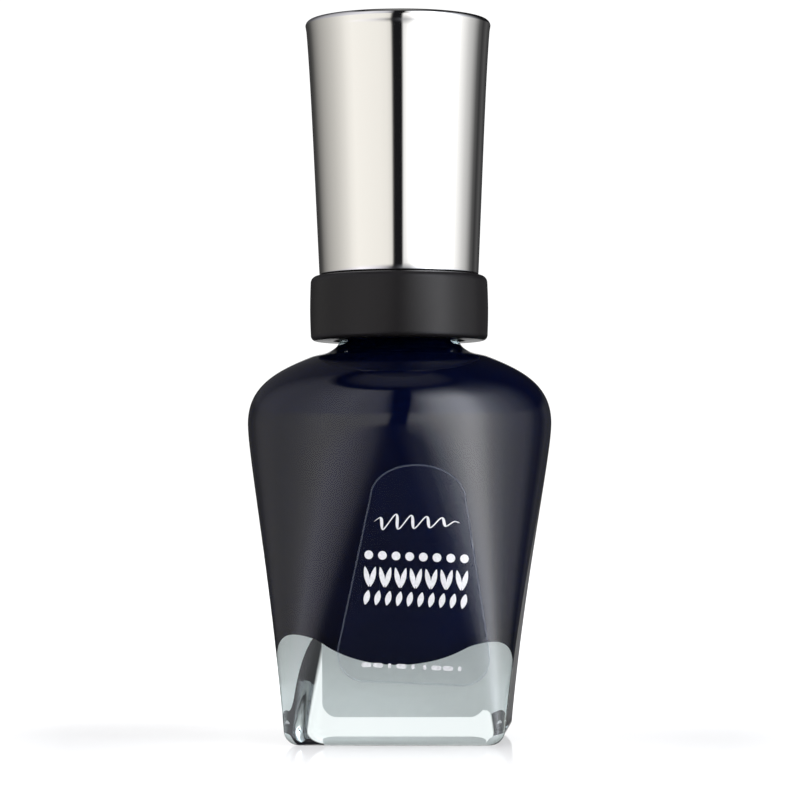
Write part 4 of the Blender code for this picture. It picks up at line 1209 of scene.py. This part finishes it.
class Sky(Nodes):
    """The studio round the bottle: two soft boxes, a pale backdrop and dark flags between them."""

    # (degrees round from the camera, level) of each soft box, at middle, low and high elevations
    LEFT_BOX = (
        (-166, 0.04), (-152, 0.05), (-143, 0.11), (-133, 0.28), (-118, 0.52), (-106, 0.67), (-96, 0.79),
        (-86, 0.94), (-77, 1.09), (-69, 1.26), (-60, 1.37), (-45, 1.34), (-24, 1.29), (-15, 1.23),
        (-9.4, 1.06), (-7.0, 0.12), (-5.5, 0.0),
    )
    LEFT_LOW = (
        (-166, 0.03), (-143, 0.08), (-120, 0.45), (-106, 0.6), (-91, 0.75), (-80, 0.98), (-67, 1.38),
        (-57, 1.75), (-46, 1.5), (-35, 1.22), (-28, 0.98), (-18, 0.58), (-13, 0.27), (-9, 0.06),
        (-5, 0.0),
    )
    LEFT_HIGH = (
        (-166, 0.07), (-143, 0.14), (-128, 0.38), (-112, 0.62), (-97, 0.72), (-84, 0.88), (-72, 1.0),
        (-62, 1.1), (-50, 1.19), (-41, 1.28), (-28, 1.08), (-18, 0.97), (-12, 0.72), (-9, 0.4),
        (-5, 0.0),
    )
    RIGHT_BOX = (
        (9.0, 0.0), (15, 0.35), (22, 1.0), (31, 2.0), (40, 3.1), (49, 4.5), (56, 5.0), (64, 4.3),
        (74, 2.6), (87, 1.5), (101, 0.92), (110, 0.66), (118, 0.34), (124, 0.13), (134, 0.04),
        (146, 0.10), (154, 0.06), (166, 0.03),
    )
    RIGHT_LOW = (
        (-10, 0.0), (-4, 0.03), (0, 0.08), (5, 0.19), (9, 0.28), (15, 0.38), (22, 1.0), (31, 1.85),
        (40, 3.0), (49, 4.5), (56, 5.0), (64, 4.25), (74, 2.55), (87, 1.45), (101, 0.75), (110, 0.5),
        (118, 0.3), (126, 0.12), (134, 0.0),
    )
    RIGHT_HIGH = (
        (9, 0.0), (12, 0.1), (15, 0.6), (22, 1.75), (31, 3.3), (40, 4.15), (49, 5.0), (56, 5.3),
        (64, 4.1), (74, 2.4), (87, 1.4), (101, 0.7), (116, 0.24), (126, 0.06), (134, 0.0),
    )
    # how much of each band is seen at an elevation, in degrees
    LOW_BAND = ((-7, 1.0), (-3, 0.0))
    MIDDLE_BAND = ((-7, 0.0), (-3, 1.0), (8, 1.0), (13, 0.0))
    HIGH_BAND = ((8, 0.0), (13, 1.0))
    RIGHT_EDGE = ((4.6, 0.0), (7.2, 1.38), (16, 1.5), (40, 1.5), (70, 0.0))
    BACKDROP = ((-180, 1.0), (-176.4, 1.0), (-175, 0.0), (175, 0.0), (176.4, 1.0), (180, 1.0))

    def __init__(self, studio):
        world = bpy.data.worlds.new("studio_light")
        world.use_nodes = True
        super().__init__(world.node_tree)
        self.tree.nodes.clear()
        self.studio = studio
        bpy.context.scene.world = world

    def math(self, operation, first, second=0.0):
        return self.node("ShaderNodeMath", {0: first, 1: second}, operation=operation).outputs[0]

    def vector(self, operation, first, second):
        node = self.node("ShaderNodeVectorMath", {0: first, 1: second}, operation=operation)
        return node.outputs["Vector"]

    def ramp(self, source, stops, reach, strength=1.0, tint=(1.0, 1.0, 1.0)):
        """A level along source, which runs from -reach to reach."""
        share = self.ranged(source, 0.0, 1.0, -reach, reach)
        ramp = self.node("ShaderNodeValToRGB", {"Fac": share})
        marks = []
        for where, level in stops:
            shade = (*(channel * (level / strength) for channel in tint), 1.0)
            marks.append(((where + reach) / (2 * reach), shade))
        elements = ramp.color_ramp.elements
        for element, (position, shade) in zip((elements[0], elements[1]), (marks[0], marks[-1])):
            element.position = position
            element.color = shade
        for position, shade in marks[1:-1]:
            elements.new(position).color = shade
        sockets = {0: ramp.outputs["Color"], "Scale": strength}
        return self.node("ShaderNodeVectorMath", sockets, operation="SCALE").outputs["Vector"]

    def faded(self, light, lift, stops):
        """A light with its level over the elevation, in degrees."""
        return self.vector("MULTIPLY", light, self.ramp(lift, stops, 90))

    def banded(self, lift, low, middle, high):
        """The light of one side, from its low, middle and high bands."""
        low = self.faded(low, lift, self.LOW_BAND)
        middle = self.faded(middle, lift, self.MIDDLE_BAND)
        high = self.faded(high, lift, self.HIGH_BAND)
        return self.vector("ADD", low, self.vector("ADD", middle, high))

    def build(self):
        turn = self.studio.camera_azimuth
        cos, sin = math.cos(turn), math.sin(turn)
        way = self.node("ShaderNodeTexCoord").outputs["Generated"]
        x, y, z = self.node("ShaderNodeSeparateXYZ", {"Vector": way}).outputs
        aside = self.math("ADD", self.math("MULTIPLY", x, cos), self.math("MULTIPLY", y, sin))
        ahead = self.math("SUBTRACT", self.math("MULTIPLY", x, sin), self.math("MULTIPLY", y, cos))
        round_angle = self.math("MULTIPLY", self.math("ARCTAN2", aside, ahead), math.degrees(1))
        lift = self.math("MULTIPLY", self.math("ARCSINE", z), math.degrees(1))

        left_angle = self.math("SUBTRACT", round_angle, self.math("MULTIPLY", lift, 0.16))
        left = self.banded(
            lift,
            self.ramp(round_angle, self.LEFT_LOW, 180, 1.8, (0.93, 0.91, 1.0)),
            self.ramp(left_angle, self.LEFT_BOX, 180, 1.5, (1.0, 0.975, 0.925)),
            self.ramp(round_angle, self.LEFT_HIGH, 180, 1.5, (0.93, 0.925, 1.0)),
        )
        left = self.faded(left, lift, ((-80, 0.3), (-50, 1), (58, 1), (63, 0)))
        right = self.banded(
            lift,
            self.ramp(round_angle, self.RIGHT_LOW, 180, 5.5, (0.9, 0.94, 1.04)),
            self.ramp(round_angle, self.RIGHT_BOX, 180, 5.5),
            self.ramp(round_angle, self.RIGHT_HIGH, 180, 5.5, (0.92, 0.95, 1.03)),
        )
        right = self.faded(right, lift, ((-80, 0.2), (-45, 1), (38, 1), (52, 0.4), (66, 0)))
        edge_angle = self.math("SUBTRACT", round_angle, self.math("MULTIPLY", lift, 0.12))
        edge = self.ramp(edge_angle, self.RIGHT_EDGE, 180, 1.5)
        edge = self.faded(edge, lift, ((-9, 0), (0, 1), (9, 1), (14, 0.5), (45, 0.5), (60, 0)))
        back = self.ramp(round_angle, self.BACKDROP, 180)
        back = self.faded(back, lift, ((-60, 1), (30, 1), (60, 0)))
        over = self.ramp(lift, ((66, 0.0), (74, 0.22), (90, 0.30)), 90)
        sides = self.vector("ADD", left, right)
        light = self.vector("ADD", sides, self.vector("ADD", edge, self.vector("ADD", back, over)))

        fill = self.vector("ADD", light, (0.014, 0.014, 0.016))
        lit = {"Color": fill, "Strength": self.studio.light_level}
        white = {"Color": (1.0, 1.0, 1.0, 1.0), "Strength": 1.1}
        lit, white = (self.node("ShaderNodeBackground", kind).outputs[0] for kind in (lit, white))
        camera = self.node("ShaderNodeLightPath").outputs["Is Camera Ray"]
        either = self.node("ShaderNodeMixShader", {0: camera, 1: lit, 2: white}).outputs[0]
        self.node("ShaderNodeOutputWorld", {"Surface": either})


def build_studio(studio):
    scene = bpy.context.scene
    half = studio.floor_half_width
    corners = [(-half, -half, 0.0), (half, -half, 0.0), (half, half, 0.0), (-half, half, 0.0)]
    mesh = bpy.data.meshes.new("floor")
    mesh.from_pydata(corners, [], [(0, 1, 2, 3)])
    mesh.materials.append(studio_floor())
    floor = bpy.data.objects.new("floor", mesh)
    floor.visible_glossy = False
    scene.collection.objects.link(floor)
    Sky(studio).build()

    box = bpy.data.lights.new("overhead_box", "AREA")
    box.shape = "DISK"
    box.size = 0.5
    box.energy = 1.2
    lamp = bpy.data.objects.new("overhead_box", box)
    lamp.location = (0.0, -0.1, 0.9)
    lamp.visible_glossy = False
    lamp.visible_transmission = False
    scene.collection.objects.link(lamp)

    lens = bpy.data.cameras.new("camera")
    lens.lens = studio.focal_length
    lens.sensor_width = 36.0
    lens.clip_start = 0.01
    lens.clip_end = 20.0
    camera = bpy.data.objects.new("camera", lens)
    azimuth, away = studio.camera_azimuth, studio.camera_distance
    camera.location = (away * math.sin(azimuth), -away * math.cos(azimuth), studio.camera_height)
    level = Euler((math.pi / 2 + studio.camera_pitch, 0.0, azimuth - studio.camera_yaw)).to_matrix()
    roll = Matrix.Rotation(-studio.camera_roll, 3, "Z")
    camera.rotation_euler = (level @ roll).to_euler()
    scene.collection.objects.link(camera)
    scene.camera = camera
    scene.view_settings.view_transform = "Standard"


# ---- Operators ----


class BuildStudio(Operator):
    """Lays the pale floor and sets the studio light and the camera"""

    bl_idname = "nail_polish.studio"
    bl_label = "Studio"

    def execute(self, context):
        build_studio(context.scene.polish_studio)
        return {"FINISHED"}


class BuildBottle(Operator):
    """Builds the heavy glass bottle"""

    bl_idname = "nail_polish.bottle"
    bl_label = "Glass bottle"

    def execute(self, context):
        build_bottle(context.scene.polish_bottle)
        return {"FINISHED"}


class BuildLacquer(Operator):
    """Fills the bottle with lacquer round its mixing balls"""

    bl_idname = "nail_polish.lacquer"
    bl_label = "Lacquer and balls"

    def execute(self, context):
        build_lacquer(context.scene.polish_bottle)
        return {"FINISHED"}


class BuildLabels(Operator):
    """Puts the front film, the rear label and the base sticker on the bottle"""

    bl_idname = "nail_polish.labels"
    bl_label = "Labels"

    def execute(self, context):
        scene = context.scene
        build_front_label(scene.polish_bottle, scene.polish_labels)
        build_rear_label(scene.polish_bottle, scene.polish_labels)
        build_base_sticker(scene.polish_bottle)
        return {"FINISHED"}


class BuildWasher(Operator):
    """Lays the sealing washer on the lip"""

    bl_idname = "nail_polish.washer"
    bl_label = "Sealing washer"

    def execute(self, context):
        build_washer(context.scene.polish_brush)
        return {"FINISHED"}


class BuildBrush(Operator):
    """Builds the brush: its stem, staple and bristles"""

    bl_idname = "nail_polish.brush"
    bl_label = "Brush"

    def execute(self, context):
        scene = context.scene
        build_brush(scene.polish_brush, scene.polish_bottle)
        build_bristles(scene.polish_brush, scene.polish_bottle)
        return {"FINISHED"}


class BuildCap(Operator):
    """Builds the cap: the inner cap, the satin collar and the plated overcap"""

    bl_idname = "nail_polish.cap"
    bl_label = "Cap"

    def execute(self, context):
        cap = context.scene.polish_cap
        refinish("inner_cap", cap_plastic())
        build_collar(cap)
        build_overcap(cap)
        return {"FINISHED"}


class PolishPanel(Panel):
    """Lists the bottle's settings and the steps that build it"""

    bl_idname = "VIEW3D_PT_nail_polish"
    bl_label = "Nail Polish Bottle"
    bl_space_type = "VIEW_3D"
    bl_region_type = "UI"
    bl_category = "Nail Polish"

    def draw(self, context):
        for step in STEPS:
            self.layout.operator(step.bl_idname)
        for name, group in SETTINGS.items():
            box = self.layout.box()
            box.label(text=group.__doc__)
            settings = getattr(context.scene, name)
            for field in group.__annotations__:
                box.prop(settings, field)


STEPS = (BuildStudio, BuildBottle, BuildLacquer, BuildLabels, BuildWasher, BuildBrush, BuildCap)
SETTINGS = {
    "polish_bottle": BottleSettings,
    "polish_labels": LabelSettings,
    "polish_brush": BrushSettings,
    "polish_cap": CapSettings,
    "polish_studio": StudioSettings,
}


def register():
    for group in (*SETTINGS.values(), *STEPS, PolishPanel):
        bpy.utils.register_class(group)
    for name, group in SETTINGS.items():
        setattr(bpy.types.Scene, name, PointerProperty(type=group))


def unregister():
    for name in SETTINGS:
        delattr(bpy.types.Scene, name)
    for group in (PolishPanel, *reversed(STEPS), *reversed(SETTINGS.values())):
        bpy.utils.unregister_class(group)


def main():
    register()
    bpy.ops.nail_polish.studio()
    bpy.ops.nail_polish.bottle()
    bpy.ops.nail_polish.lacquer()
    bpy.ops.nail_polish.labels()
    bpy.ops.nail_polish.washer()
    bpy.ops.nail_polish.brush()
    bpy.ops.nail_polish.cap()


if __name__ == "__main__":
    main()
